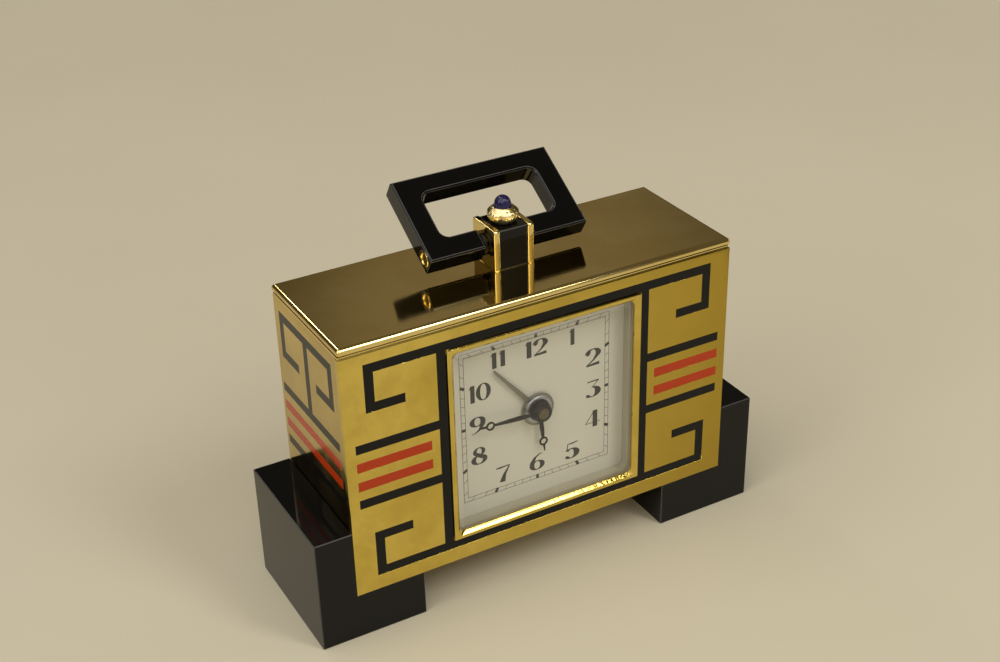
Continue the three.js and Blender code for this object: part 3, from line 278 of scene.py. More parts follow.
def ease(name, shape, width=0.0, width_at=None, segments=2):
    """Rounds a closed shape's sharp edges, by one width or by what width_at says of an edge's middle, and
    gives it normals that keep its flats flat. The attribute rounded is 1 on the rounded edges."""
    bmesh.ops.recalc_face_normals(shape, faces=shape.faces)
    weight = shape.edges.layers.float.new("bevel_weight_edge")
    for edge in shape.edges:
        if len(edge.link_faces) == 2 and edge.calc_face_angle() > sharp_angle:
            middle = (edge.verts[0].co + edge.verts[1].co) / 2
            own_width = width_at(middle) if width_at else width
            edge[weight] = own_width / width if width else 0.0
            edge.smooth = own_width > 0.0
    for face in shape.faces:
        face.smooth = True
    mesh = bpy.data.meshes.new(name)
    shape.to_mesh(mesh)
    shape.free()
    if "custom_normal" in mesh.attributes:
        mesh.attributes.remove(mesh.attributes["custom_normal"])
    mesh.materials.clear()
    for empty_slot in (flat_slot, rounded_slot):
        mesh.materials.append(None)
    rounding = {
        "width": width, "segments": segments, "limit_method": "WEIGHT", "use_clamp_overlap": False,
        "miter_outer": "MITER_ARC", "material": rounded_slot,
    }
    flats = ("WEIGHTED_NORMAL", {"mode": "FACE_AREA", "weight": 100, "keep_sharp": True})
    eased = to_plain_mesh(name, mesh, *([("BEVEL", rounding)] if width else []), flats)
    rounded = eased.attributes.new("rounded", "FLOAT", "FACE")
    rounded.data.foreach_set("value", [float(face.material_index) for face in eased.polygons])
    eased.polygons.foreach_set("material_index", [flat_slot] * len(eased.polygons))
    return eased


def solid_of(node):
    """A CAD node's solid with its triangles merged into whole faces."""
    shape = bmesh.new()
    shape.from_mesh(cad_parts[node].data)
    bmesh.ops.remove_doubles(shape, verts=shape.verts, dist=weld)
    bmesh.ops.dissolve_limit(shape, angle_limit=flat_angle, verts=shape.verts, edges=shape.edges)
    return shape


def fit(name, shape, slot, body, *nodes, finish=None, **rounding):
    """Eases a shape, unless it is a mesh by now, and puts it in the clock, in place of the CAD nodes that
    it stands for."""
    mesh = shape if isinstance(shape, bpy.types.Mesh) else ease(name, shape, **rounding)
    mesh.materials.clear()
    mesh.materials.append(finishes[finish or slot])
    piece = add_object(name, mesh)
    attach(piece, body)
    if nodes:
        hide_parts(*nodes)


def satin_gold_recipe(net, place):
    cloud = net.ramp(net.noise(place, 42.0, 4.0, 0.6), 0.36, 0.64)
    mottle = net.ramp(net.noise(place, 210.0, 4.0, 0.6), 0.4, 0.7)
    brushed = net.noise(place, (60.0, 900.0, 2600.0), 3.0, 0.6)
    # Painted shade: towards +x, the clock's right, the gold is darkened to brown to stand for the dimmer
    # light there; the cloud noise breaks up its edge.
    painted_shade_rightward = net.ramp(net.axis(place, "X") + cloud * 12 * mm, -16 * mm, 56 * mm, form="LINEAR")
    warm = net.tint(cloud, (0.61, 0.448, 0.086), (0.74, 0.56, 0.13))
    worn = net.tint(mottle * 0.4, warm, (0.50, 0.365, 0.075))
    return {
        "Base Color": net.tint(painted_shade_rightward, worn, (0.46, 0.32, 0.048)),
        "Roughness": 0.13 + cloud * 0.06 + mottle * 0.08,
        "relief": (brushed * 0.3 + mottle * 0.7, 0.01 * mm),
    }


def centre_of(node):
    """The middle of a CAD node's box."""
    return sum(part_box(node), Vector()) / 2


add_finish("satin_gold", satin_gold_recipe, metallic=1.0)
front_low, front_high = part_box("front_plate")
bezel_low, bezel_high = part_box("bezel")
case_half = front_high.x
bezel_outer = bezel_high.x
window_middle = centre_of("bezel")
window_z = window_middle.z
front_edge, inside_edge, pocket_edge = 0.32 * mm, 0.08 * mm, 0.045 * mm
touching, close_by = 0.01 * mm, 0.1 * mm


def front_edge_width(middle):
    if max(abs(middle.x), abs(middle.z - window_z)) < bezel_outer + close_by:
        return 0.0
    outer = abs(middle.x) > case_half - touching
    lower = middle.z < front_low.z + touching
    upper = middle.z > front_high.z - touching
    if middle.y > front_low.y + close_by:
        return inside_edge if outer or lower else 0.0
    if upper:
        return 0.0
    return front_edge if outer or lower else pocket_edge


fit("front_panel", solid_of("front_plate"), "satin_gold", "case", "front_plate",
    width=front_edge, width_at=front_edge_width, segments=4)


# Case. Both sides and the floor are bent brass sheet, soldered into one shell, polished and gold plated and
# by now a little worn, with the same lacquer pockets in its sides and four lugs inside for the back cover's
# screws. Its gold is darker and duller than the top plate's mirror gold: partly wear, partly painted shade
# for the dimmer table that the sides reflect.
add_noisy_finish(
    "worn_and_shaded_gold", (0.56, 0.41, 0.13), (0.69, 0.515, 0.175),
    [(60.0, 4.0, 0.6), ((300.0, 300.0, 60.0), 4.0, 0.6)], (0.09, 0.09, 0.06), (0.008 * mm, 0.4, 0.6),
    cloudy=True, metallic=1.0,
)
shell_low, shell_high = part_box("case_shell")
shell_edge = 0.16 * mm


def shell_edge_width(middle):
    at_the_back = middle.y > shell_high.y - touching
    underneath = middle.z < shell_low.z + touching
    return shell_edge if at_the_back or underneath else 0.0


fit("case_walls", solid_of("case_shell"), "mirror_gold", "case", "case_shell", finish="worn_and_shaded_gold",
    width=shell_edge, width_at=shell_edge_width, segments=3)


# Lacquer. Hard enamel lacquer is laid into the pockets, fired and polished flush, black for the key
# pattern and vermilion for the short bars.
add_noisy_finish(
    "black_lacquer", (0.0035, 0.0033, 0.003), (0.007, 0.0065, 0.0055),
    [(130.0, 3.0), (2200.0, 2.0)], (0.1, 0.07, 0.05), (0.006 * mm, 1.0), specular_ior_level=0.2,
)
add_noisy_finish(
    "red_lacquer", (0.385, 0.029, 0.003), (0.455, 0.045, 0.005),
    [(900.0, 2.0), (160.0, 3.0)], (0.12, 0.0, 0.08), (0.006 * mm, 0.0, 1.0), specular_ior_level=0.28,
)
for node in sorted(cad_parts):
    for slot, word in (("black_lacquer", "black_lacquer"), ("red_lacquer", "red_bar")):
        if word in node:
            fit(f"{node}_inlay", solid_of(node), slot, "case", node, width=pocket_edge)


# Top plate. A thick brass plate, mirror polished and gold plated, with a full round edge that is mitred
# at the corners, and a step underneath that leaves a dark line above the case.
add_noisy_finish(
    "mirror_gold", (0.74, 0.565, 0.195), (0.83, 0.66, 0.27),
    [
        (52.0, 4.0, 0.6),
        (1500.0, 2.0),
        ((90.0, 3200.0, 3200.0), 2.0, 0.6, (0.2, 0.1, 0.5)),
        ((2600.0, 110.0, 2600.0), 2.0, 0.6, (0.1, 0.2, -0.7)),
    ],
    (0.03, 0.04, 0.03), (0.006 * mm, 0.3, 0.0, 0.4, 0.3), cloudy=True, metallic=1.0,
)


def rounded_rectangle(half_a, half_b, corner, steps=6):
    """Points of a rectangle with rounded corners, all the way round its centre."""
    points = []
    for quarter, (side_a, side_b) in enumerate(((1, 1), (-1, 1), (-1, -1), (1, -1))):
        for step in range(steps + 1):
            angle = (quarter + step / steps) * math.pi / 2
            points.append((
                side_a * (half_a - corner) + corner * math.cos(angle),
                side_b * (half_b - corner) + corner * math.sin(angle),
            ))
    return points


def loft(rings, capped=True):
    """Joins rings of equally many points into a closed skin, capped or joined end to end."""
    shape = bmesh.new()
    rows = [[shape.verts.new(point) for point in ring] for ring in rings]
    count = len(rows[0])
    for low, high in zip(rows, rows[1:] if capped else [*rows[1:], rows[0]]):
        for here in range(count):
            there = (here + 1) % count
            shape.faces.new((low[here], low[there], high[there], high[here]))
    if capped:
        shape.faces.new(rows[0])
        shape.faces.new(rows[-1])
    return shape


top_low, top_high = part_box("top_plate")
top_half_y = (top_high.y - top_low.y) / 2
top_middle_y = centre_of("top_plate").y
top_edge, top_corner, least_corner = 0.9 * mm, 0.5 * mm, 0.05 * mm
top_step, side_step = 0.5 * mm, 0.14 * mm
under_inset, under_rise = 0.15 * mm, 0.1 * mm
round_steps = 16


def top_ring(inset, z, side_inset=None):
    corner = max(top_corner - inset * 0.5, least_corner)
    half_x = top_high.x - (inset if side_inset is None else side_inset)
    outline = rounded_rectangle(half_x, top_half_y - inset, corner)
    return [(x, y + top_middle_y, z) for x, y in outline]


top_rings = [
    top_ring(top_step + under_inset, top_low.z, side_step + under_inset),
    top_ring(top_step, top_low.z + under_rise, side_step),
    top_ring(top_step, top_high.z - 2 * top_edge, side_step),
]
for step in range(round_steps + 1):
    angle = math.pi * (step / round_steps - 0.5)
    reach = top_edge * math.cos(angle)
    top_rings.append(top_ring(top_edge - reach, top_high.z - top_edge + top_edge * math.sin(angle)))
fit("top_slab", loft(top_rings), "mirror_gold", "case", "top_plate")


# Bezel. A gold plated square frame, pressed into the front plate from the front, that holds the crystal
# against its step. Its face is flat with soft outer edges and slopes down to the glass inside.
add_noisy_finish(
    "bezel_gold", (0.60, 0.44, 0.085), (0.72, 0.545, 0.13),
    [(60.0, 4.0, 0.6), (1300.0, 2.0)], (0.035, 0.04, 0.04), (0.03 * mm, 0.0, 1.0), cloudy=True, metallic=1.0,
)
crystal_low, crystal_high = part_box("crystal")
bezel_opening = 21.4 * mm
skirt_inner = bezel_outer - 0.55 * mm
crystal_step = crystal_low.y + 0.55 * mm
outer_corner, inner_corner = 0.06 * mm, 1.4 * mm
# Half widths of the square and depths behind the front, in mm.
bezel_face = [
    (22.85, 0.34), (22.82, 0.17), (22.72, 0.05), (22.58, 0.0), (22.02, 0.0), (21.94, 0.03), (21.6, 0.42),
    (21.48, 0.5), (21.42, 0.56),
]


def window_ring(half, corner, y):
    return [(x, y, z + window_z) for x, z in rounded_rectangle(half, half, corner, 10)]


bezel_rings = [window_ring(bezel_outer, outer_corner, bezel_high.y)]
for half, depth in bezel_face:
    share = (bezel_outer - half * mm) / (bezel_outer - bezel_opening)
    corner = outer_corner + (inner_corner - outer_corner) * share
    bezel_rings.append(window_ring(half * mm, corner, bezel_low.y + depth * mm))
bezel_rings += [
    window_ring(bezel_opening, inner_corner, crystal_step),
    window_ring(skirt_inner, inner_corner, crystal_step),
    window_ring(skirt_inner, inner_corner, bezel_high.y),
]
fit("window_bezel", loft(bezel_rings, capped=False), "mirror_gold", "case", "bezel", finish="bezel_gold")


# Crystal. A flat mineral glass with a polished bevel round its front, held behind the bezel by the flange
# that runs round its back.
crystal_boss = bezel_opening - 0.05 * mm
bevel_width, bevel_depth = 0.7 * mm, 0.42 * mm
arris_width = 0.09 * mm


def crystal_recipe(net, place):
    facing = net.add("ShaderNodeLayerWeight", {"Blend": 0.5}, "Facing")
    smear = net.noise(place, 90.0)
    across = net.maths("ABSOLUTE", net.axis(place, "X"))
    along = net.maths("ABSOLUTE", net.axis(place, "Z") - window_z)
    reach = net.maths("MAXIMUM", across, along)
    bevel = net.maths("GREATER_THAN", reach, crystal_boss - bevel_width)
    arris = net.maths("COMPARE", reach, crystal_boss - bevel_width, arris_width)
    return {
        "Alpha": 0.03 + 0.7 * facing ** 5 + bevel * 0.08 + arris * 0.16,
        "Roughness": 0.01 + smear * 0.02 + bevel * 0.2,
    }


add_finish("crystal", crystal_recipe, base_color=(1.0, 1.0, 1.0, 1.0), metallic=1.0)
crystal_rings = [
    (crystal_boss - bevel_width, inner_corner - bevel_width, crystal_low.y),
    (crystal_boss, inner_corner, crystal_low.y + bevel_depth),
    (crystal_boss, inner_corner, crystal_step),
    (crystal_high.x, inner_corner, crystal_step),
    (crystal_high.x, inner_corner, crystal_high.y),
]
fit("window_glass", loft([window_ring(*ring) for ring in crystal_rings]), "crystal", "case", "crystal")


# Dial and surround. The dial is a stamped brass plate, sprayed cream and printed in black: arabic numbers
# and a square minute track. The cream surround stands on it and fills the depth up to the crystal; its
# wall carries painted shade, darkening to olive brown towards the crystal.
def shaded_wall_recipe(net, place):
    cloud = net.noise(place, 120.0)
    streak = net.noise(place, (1500.0, 1500.0, 40.0), 3.0, 0.6)
    # Painted shade: the wall goes from cream by the dial to a dark olive brown by the crystal, where the
    # recess lies in shade.
    wavy = net.axis(place, "Y") + (cloud + streak) * 0.8 * mm
    depth = net.ramp(wavy, -16.9 * mm, -14.2 * mm, form="LINEAR")
    return {
        "Base Color": net.tint(depth, (0.20, 0.165, 0.08), (0.40, 0.37, 0.275)),
        "Roughness": 0.3 + cloud * 0.2,
        "relief": (cloud, 0.02 * mm),
    }


add_noisy_finish(
    "cream_paint", (0.62, 0.605, 0.50), (0.655, 0.64, 0.535),
    [(45.0, 3.0), (3000.0, 2.0)], (0.42, 0.0, 0.16), (0.004 * mm, 0.0, 1.0),
)
add_noisy_finish("ink", (0.010, 0.0095, 0.009), (0.022, 0.021, 0.019), [(1400.0, 2.0)], (0.35, 0.15))
add_finish("shaded_wall", shaded_wall_recipe)
fit("dial_face", solid_of("dial_plate"), "cream_paint", "case", "dial_plate", width=0.05 * mm)
fit("dial_wall", solid_of("dial_surround"), "cream_paint", "case", "dial_surround", finish="shaded_wall",
    width=0.12 * mm, segments=3)


def anticlockwise(loop):
    area = sum(here[0] * there[1] - there[0] * here[1] for here, there in zip(loop, [*loop[1:], loop[0]]))
    return loop if area > 0 else loop[::-1]


def flat_solid(outlines, holes, front, back):
    """One closed solid from flat outlines in x and z that may overlap, less the holes."""
    loops = [anticlockwise(loop) for loop in (*outlines, *holes)]
    points = [Vector(point) for loop in loops for point in loop]
    faces = []
    for loop in loops:
        first = sum(map(len, faces))
        faces.append(list(range(first, first + len(loop))))
    flat, _, cells, _, _, owners = delaunay_2d_cdt(points, [], faces, 0, weld / 10)
    hole_numbers = set(range(len(outlines), len(loops)))
    kept = [cell for cell, owner in zip(cells, owners) if owner and not hole_numbers & set(owner)]
    shape = bmesh.new()
    used = sorted({corner for cell in kept for corner in cell})
    ends = [{at: shape.verts.new((flat[at].x, y, flat[at].y)) for at in used} for y in (front, back)]
    walls = {}
    for cell in kept:
        for end in ends:
            shape.faces.new([end[corner] for corner in cell])
        for here, there in zip(cell, [*cell[1:], cell[0]]):
            walls[(here, there)] = walls.get((here, there), 0) + 1
    for here, there in walls:
        if (there, here) not in walls:
            shape.faces.new((ends[0][here], ends[0][there], ends[1][there], ends[1][here]))
    return shape


def pen(*stations):
    """Outlines of a pen stroke through stations (x, z, width), one for each short stretch."""
    edges = []
    for number, (x, z, width) in enumerate(stations):
        before = stations[max(number - 1, 0)]
        after = stations[min(number + 1, len(stations) - 1)]
        run = Vector((after[0] - before[0], after[1] - before[1])).normalized()
        side = Vector((-run.y, run.x)) * width / 2
        edges.append((Vector((x, z)) + side, Vector((x, z)) - side))
    return [[here[0], here[1], there[1], there[0]] for here, there in zip(edges, edges[1:])]


thick, thin = 0.19, 0.05


def bowl(x, z, half_x, half_z, start, end, heavy=0.225, light=thin, steps=22):
    """A round stroke, heavy where it runs upright and light where it runs level. Angles are from +x."""
    stations = []
    for step in range(steps + 1):
        angle = math.radians(start + (end - start) * step / steps)
        swell = abs(math.cos(angle)) ** 1.5
        place = (x + half_x * math.cos(angle), z + half_z * math.sin(angle))
        stations.append((*place, light + (heavy - light) * swell))
    return pen(*stations)


def dot(x, z, radius, steps=14):
    return [[Vector((x + radius * math.cos(turn), z + radius * math.sin(turn)))
             for turn in (math.tau * step / steps for step in range(steps))]]


# Figures, one unit high and centred on x = 0, with their advance width.
figures = {
    "0": (0.66, bowl(0.0, 0.5, 0.235, 0.475, 0, 360, thick, thin, 40)),
    "1": (0.36, pen((0.03, 0.0, thick), (0.03, 1.0, thick)) + pen((0.0, 0.95, 0.09), (-0.13, 0.80, 0.02))),
    "2": (0.60, (
        dot(-0.19, 0.70, 0.062)
        + bowl(0.0, 0.73, 0.2, 0.25, 180, -40, 0.2)
        + pen((0.165, 0.60, 0.15), (0.02, 0.33, 0.075), (-0.24, 0.06, 0.045))
        + pen((-0.25, 0.05, 0.10), (0.24, 0.085, 0.18))
    )),
    "3": (0.58, (
        pen((-0.2, 0.955, 0.06), (0.22, 0.965, 0.075))
        + pen((0.2, 0.95, 0.035), (-0.03, 0.60, 0.03))
        + bowl(-0.03, 0.32, 0.215, 0.29, 95, -140)
        + dot(-0.2, 0.15, 0.06)
    )),
    "4": (0.66, (
        pen((0.1, 0.0, thick), (0.1, 1.0, thick))
        + pen((0.07, 0.98, 0.03), (-0.28, 0.28, 0.03))
        + pen((-0.3, 0.265, 0.035), (0.3, 0.265, 0.035))
    )),
    "5": (0.58, (
        pen((-0.17, 0.94, 0.035), (0.0, 0.93, 0.09), (0.23, 0.975, 0.05))
        + pen((-0.155, 0.93, 0.035), (-0.19, 0.54, 0.03))
        + bowl(-0.03, 0.32, 0.215, 0.29, 140, -140)
        + dot(-0.2, 0.15, 0.06)
    )),
    "6": (0.60, (
        bowl(0.0, 0.285, 0.2, 0.26, 0, 360, 0.18, thin, 34)
        + pen(
            (-0.2, 0.3, 0.19), (-0.185, 0.5, 0.17), (-0.08, 0.78, 0.10), (0.1, 0.94, 0.05), (0.2, 0.95, 0.04),
        )
    )),
    "7": (0.58, (
        pen((-0.26, 0.93, 0.06), (-0.1, 0.93, 0.1), (0.26, 0.955, 0.06))
        + pen((0.25, 0.93, 0.04), (0.06, 0.45, 0.12), (-0.03, 0.0, 0.22))
    )),
    "8": (0.60, (
        bowl(0.0, 0.75, 0.155, 0.225, 0, 360, 0.13, thin, 30)
        + bowl(0.0, 0.275, 0.205, 0.25, 0, 360, 0.17, thin, 34)
        + pen((-0.13, 0.68, 0.13), (0.0, 0.525, 0.18), (0.15, 0.36, 0.16))
    )),
}
figures["9"] = (0.60, [[Vector((-point.x, 1.0 - point.y)) for point in loop] for loop in figures["6"][1]])


def set_text(text, left, low, right, high):
    """The outlines of a number or word that fills a box."""
    pitch = (right - left) / sum(figures[figure][0] for figure in text)
    outlines = []
    at = left
    for figure in text:
        advance, strokes = figures[figure]
        middle = at + advance * pitch / 2
        for stroke in strokes:
            outlines.append([(middle + point.x * pitch, low + point.y * (high - low)) for point in stroke])
        at += advance * pitch
    return outlines


dial_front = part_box("dial_plate")[0].y
print_depth = 0.02 * mm
ink_front, ink_back = dial_front - print_depth, dial_front + print_depth
# Left, low, right and high in mm.
number_boxes = {
    "12": (-2.9, 51.6, 2.9, 55.4),
    "1": (7.8, 51.6, 9.6, 55.4),
    "2": (11.95, 45.0, 15.95, 49.1),
    "3": (12.0, 37.2, 15.95, 41.3),
    "4": (11.9, 29.6, 16.0, 33.7),
    "5": (6.8, 23.3, 10.6, 27.4),
    "6": (-2.0, 23.4, 1.9, 27.5),
    "7": (-10.3, 23.3, -6.6, 27.3),
    "8": (-16.0, 29.7, -12.0, 33.9),
    "9": (-16.1, 37.3, -12.2, 41.4),
    "10": (-16.2, 45.0, -10.8, 49.1),
    "11": (-11.0, 51.6, -7.0, 55.3),
}
for number, box in number_boxes.items():
    outlines = set_text(number, *(side * mm for side in box))
    fit(f"dial_number_{number}", flat_solid(outlines, [], ink_front, ink_back), "ink", "case")

track_inner, track_outer = 16.95 * mm, 17.9 * mm
track_line = 0.09 * mm


def upright_box(low, high, grown=0.0):
    left, right = low.x - grown, high.x + grown
    foot, head = low.z - grown, high.z + grown
    return [(left, foot), (right, foot), (right, head), (left, head)]


for name, half in (("dial_track_inner", track_inner), ("dial_track_outer", track_outer)):
    outline = upright_box(window_middle, window_middle, half + track_line / 2)
    hole = upright_box(window_middle, window_middle, half - track_line / 2)
    fit(name, flat_solid([outline], [hole], ink_front, ink_back), "ink", "case")


def grow(name, finish, sizes, recipe):
    """Builds a Geometry Nodes tree with named inputs for its sizes and returns what it makes as a mesh."""
    tree = bpy.data.node_groups.new(name, "GeometryNodeTree")
    net = Net(tree)
    entry = tree.nodes.new("NodeGroupInput")
    tree.interface.new_socket("Geometry", in_out="OUTPUT", socket_type="NodeSocketGeometry")
    values = {**sizes, "Finish": finishes[finish]}
    identifiers = {}
    for key, value in values.items():
        kind = {int: "NodeSocketInt", float: "NodeSocketFloat"}.get(type(value), "NodeSocketMaterial")
        identifiers[key] = tree.interface.new_socket(key, in_out="INPUT", socket_type=kind).identifier
    size = {key: Wire(net, entry.outputs[key]) for key in values}
    real = net.add("GeometryNodeRealizeInstances", {"Geometry": recipe(net, size)})
    dressed = net.add("GeometryNodeSetMaterial", {"Geometry": real, "Material": size["Finish"]})
    net.add("NodeGroupOutput", {"Geometry": dressed})
    blank = add_object(name, bpy.data.meshes.new(name))
    modifier = blank.modifiers.new("pattern", "NODES")
    modifier.node_group = tree
    for key, value in values.items():
        modifier[identifiers[key]] = value
    return take_mesh(name, blank)


def track_marks(net, size):
    """Marks on a square track, each along the line from the centre."""
    line = net.add("GeometryNodeMeshLine", {"Count": size["Count"]})
    turn = net.add("GeometryNodeInputIndex", {}) * math.tau / size["Count"]
    across = net.maths("SINE", turn)
    along = net.maths("COSINE", turn)
    reach = net.maths("MAXIMUM", net.maths("ABSOLUTE", across), net.maths("ABSOLUTE", along))
    stretch = net.maths("DIVIDE", 1.0, reach)
    radius = size["Track half"] * stretch
    place = net.vector(X=across * radius, Y=size["Depth"], Z=along * radius + size["Height"])
    spots = net.add("GeometryNodeSetPosition", {"Geometry": line, "Position": place})
    block = net.vector(X=size["Width"], Y=size["Thickness"], Z=size["Length"])
    mark = net.add("GeometryNodeMeshCube", {"Size": block})
    return net.add("GeometryNodeInstanceOnPoints", {
        "Points": spots, "Instance": mark, "Rotation": net.vector(Y=turn),
        "Scale": net.vector(X=1.0, Y=1.0, Z=stretch),
    })


minute_sizes = {
    "Count": 60, "Track half": (track_inner + track_outer) / 2, "Height": window_z, "Depth": dial_front,
    "Width": track_line, "Thickness": 0.036 * mm, "Length": track_outer - track_inner,
}
hour_sizes = {**minute_sizes, "Count": 12, "Width": 0.66 * mm, "Length": 0.98 * mm, "Thickness": 0.044 * mm}
for name, sizes in (("dial_minute_marks", minute_sizes), ("dial_hour_marks", hour_sizes)):
    fit(name, grow(name, "ink", sizes, track_marks), "ink", "case")


# Hands. All are stamped from thin steel: a tapering grey alarm hand on a wide disc at the bottom, then the
# black hour and minute hands with a ring near the tip, pressed on their pipes under a turned black cap.
add_noisy_finish(
    "grey_steel", (0.20, 0.19, 0.16), (0.29, 0.275, 0.24),
    [(300.0, 3.0), ((500.0, 4000.0, 500.0), 3.0)], (0.26, 0.0, 0.16), (0.002 * mm, 0.0, 1.0), metallic=1.0,
)
add_noisy_finish(
    "black_steel", (0.007, 0.007, 0.008), (0.018, 0.018, 0.02),
    [(500.0, 3.0)], (0.2, 0.12), (0.002 * mm, 1.0), metallic=0.55,
)
add_noisy_finish(
    "bright_steel", (0.36, 0.385, 0.41), (0.48, 0.505, 0.53), [(900.0, 2.0)], (0.36, 0.14), metallic=1.0,
)
# Dark aged brass: the arbor end's own colour, and painted shade on the gold ferrules of the handle pin.
add_noisy_finish(
    "aged_brass_and_shade", (0.09, 0.075, 0.05), (0.22, 0.185, 0.115), [(1100.0, 3.0)], (0.3, 0.15), metallic=1.0,
)


def disc(radius, x=0.0, z=0.0, steps=48):
    return [(x + radius * math.sin(math.tau * step / steps), z + radius * math.cos(math.tau * step / steps))
            for step in range(steps)]


def blade(*stations):
    """The outline of a blade from stations (distance from the centre, half width)."""
    left = [(-half, along) for along, half in stations]
    return left + [(-x, along) for x, along in reversed(left)]


def in_mm(points):
    return [(first * mm, second * mm) for first, second in points]


def turned_to(outlines, clock_degrees):
    """Turns outlines clockwise about the dial's centre, as seen from the front, and carries them there."""
    turn = math.radians(clock_degrees)
    cos, sin = math.cos(turn), math.sin(turn)
    return [[(x * cos + z * sin, -x * sin + z * cos + window_z) for x, z in in_mm(loop)] for loop in outlines]


hand_edge = 0.07 * mm


def fit_hand(name, node, slot, body, clock_degrees, outlines, holes):
    """Cuts a hand from outlines in mm that point to 12, and turns it to where it points."""
    low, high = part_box(node)
    shape = flat_solid(turned_to(outlines, clock_degrees), turned_to(holes, clock_degrees), low.y, high.y)
    bmesh.ops.dissolve_limit(shape, angle_limit=flat_angle, verts=shape.verts, edges=shape.edges)
    fit(name, shape, slot, body, node, width=hand_edge)


fit_hand(
    "alarm_pointer", "alarm_hand", "grey_steel", "alarm", 320,
    [disc(3.78), blade((0.0, 0.62), (15.6, 0.27), (15.95, 0.16), (16.0, 0.05))],
    [disc(2.35, steps=32)],
)
fit_hand(
    "hour_pointer", "hour_hand", "black_steel", "hour", 174,
    [
        disc(2.45), blade((0.0, 0.42), (2.2, 0.42), (4.6, 0.5), (7.2, 0.3), (7.5, 0.28)),
        disc(1.03, 0.0, 8.0, 28), blade((8.8, 0.3), (9.4, 0.2), (10.5, 0.1)),
    ],
    [disc(0.64, 0.0, 8.0, 28), disc(1.65, steps=32)],
)
fit_hand(
    "minute_pointer", "minute_hand", "black_steel", "minute", 273,
    [
        disc(2.3), blade((0.0, 0.33), (2.2, 0.36), (5.6, 0.54), (8.2, 0.45), (11.5, 0.22)),
        disc(1.03, 0.0, 12.3, 28), blade((13.0, 0.3), (13.7, 0.24), (15.0, 0.12)),
    ],
    [disc(0.62, 0.0, 12.3, 28), disc(0.95, steps=24)],
)


def turned(profile, origin, axis, steps=48, waist=None):
    """A turned solid. The profile is a list of (radius, distance along the axis) from end to end, or back to
    its first point for a ring. The waist may change a radius with the angle and the distance."""
    axis = Vector(axis).normalized()
    side = axis.orthogonal().normalized()
    other = axis.cross(side)
    shape = bmesh.new()
    rows = []
    for radius, along in profile:
        centre = Vector(origin) + axis * along
        if rows and (radius, along) == profile[0]:
            rows.append(rows[0])
            continue
        if radius == 0.0:
            rows.append([shape.verts.new(centre)])
            continue
        row = []
        for step in range(steps):
            angle = math.tau * step / steps
            reach = waist(radius, angle, along) if waist else radius
            row.append(shape.verts.new(centre + (side * math.cos(angle) + other * math.sin(angle)) * reach))
        rows.append(row)
    for low, high in zip(rows, rows[1:]):
        for here in range(steps):
            there = (here + 1) % steps
            corners = (low, here), (low, there), (high, there), (high, here)
            unique = list(dict.fromkeys(row[at % len(row)] for row, at in corners))
            if len(unique) > 2:
                shape.faces.new(unique)
    return shape


def turned_on_dial(profile, front, steps=64):
    return turned(in_mm(profile), (0.0, front, window_z), (0, 1, 0), steps)


boss_height = 0.28 * mm
boss_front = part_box("alarm_hand")[0].y - boss_height
cap_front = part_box("centre_cap")[0].y
boss_profile = [
    (2.4, 0.34), (2.4, 0.06), (2.5, 0.0), (2.85, 0.0), (3.02, 0.03), (3.14, 0.1), (3.22, 0.2), (3.25, 0.34),
    (2.4, 0.34),
]
cap_profile = [
    (0.0, 0.14), (1.3, 0.14), (1.42, 0.04), (1.55, 0.0), (1.78, 0.01), (1.93, 0.07), (2.02, 0.18),
    (2.06, 0.34), (2.2, 0.56), (2.24, 0.66), (2.24, 0.8), (0.0, 0.8),
]
arbor_profile = [
    (0.0, 0.13), (0.5, 0.11), (0.9, 0.06), (1.12, 0.02), (1.24, 0.04), (1.28, 0.12), (1.28, 0.3), (0.0, 0.3),
]
fit("alarm_boss", turned_on_dial(boss_profile, boss_front), "grey_steel", "alarm", finish="bright_steel")
fit("hand_cap", turned_on_dial(cap_profile, cap_front), "black_steel", "minute", "centre_cap")
fit("arbor_end", turned_on_dial(arbor_profile, cap_front, 48), "grey_steel", "minute", finish="aged_brass_and_shade")


# Feet. Each is cut from a block of black onyx that wraps a lower corner of the case, polished all over,
# with thin edges that are only honed and so look grey, and screwed on from inside.
def black_stone_recipe(net, place):
    cloud = net.noise(place, 55.0, 5.0, 0.6)
    fine = net.noise(place, 1800.0, 2.0)
    edge = net.add("ShaderNodeAttribute", {}, "Fac", attribute_name="rounded") * (0.6 + fine * 0.5)
    face = net.tint(cloud, (0.0015, 0.0015, 0.0015), (0.004, 0.0039, 0.0036))
    return {
        "Base Color": net.tint(edge, face, (0.06, 0.058, 0.054)),
        "Roughness": 0.035 + cloud * 0.05 + fine * 0.02 + edge * 0.22,
        "relief": (cloud * 0.7 + fine * 0.3, 0.002 * mm),
    }


add_finish("black_stone", black_stone_recipe, specular_ior_level=0.25)
foot_edge, foot_overlap = 0.22 * mm, 0.6 * mm


def foot_edge_width(middle):
    against_case = abs(abs(middle.x) - case_half) < foot_overlap and middle.z > shell_low.z - close_by
    return 0.0 if against_case else foot_edge


for side in ("left", "right"):
    fit(f"{side}_stone_foot", solid_of(f"{side}_foot"), "black_stone", "case", f"{side}_foot",
        width=foot_edge, width_at=foot_edge_width, segments=3)


# Post. A block of the same stone between two gold plated cheeks, which stand a little proud of it, all
# held on the top plate by one screw from below.
fit("post_block", solid_of("post_core"), "black_stone", "case", "post_core", width=0.2 * mm, segments=3)
for side in ("left", "right"):
    fit(f"post_cheek_{side}", solid_of(f"{side}_cheek"), "mirror_gold", "case", f"{side}_cheek",
        width=0.22 * mm, segments=3)


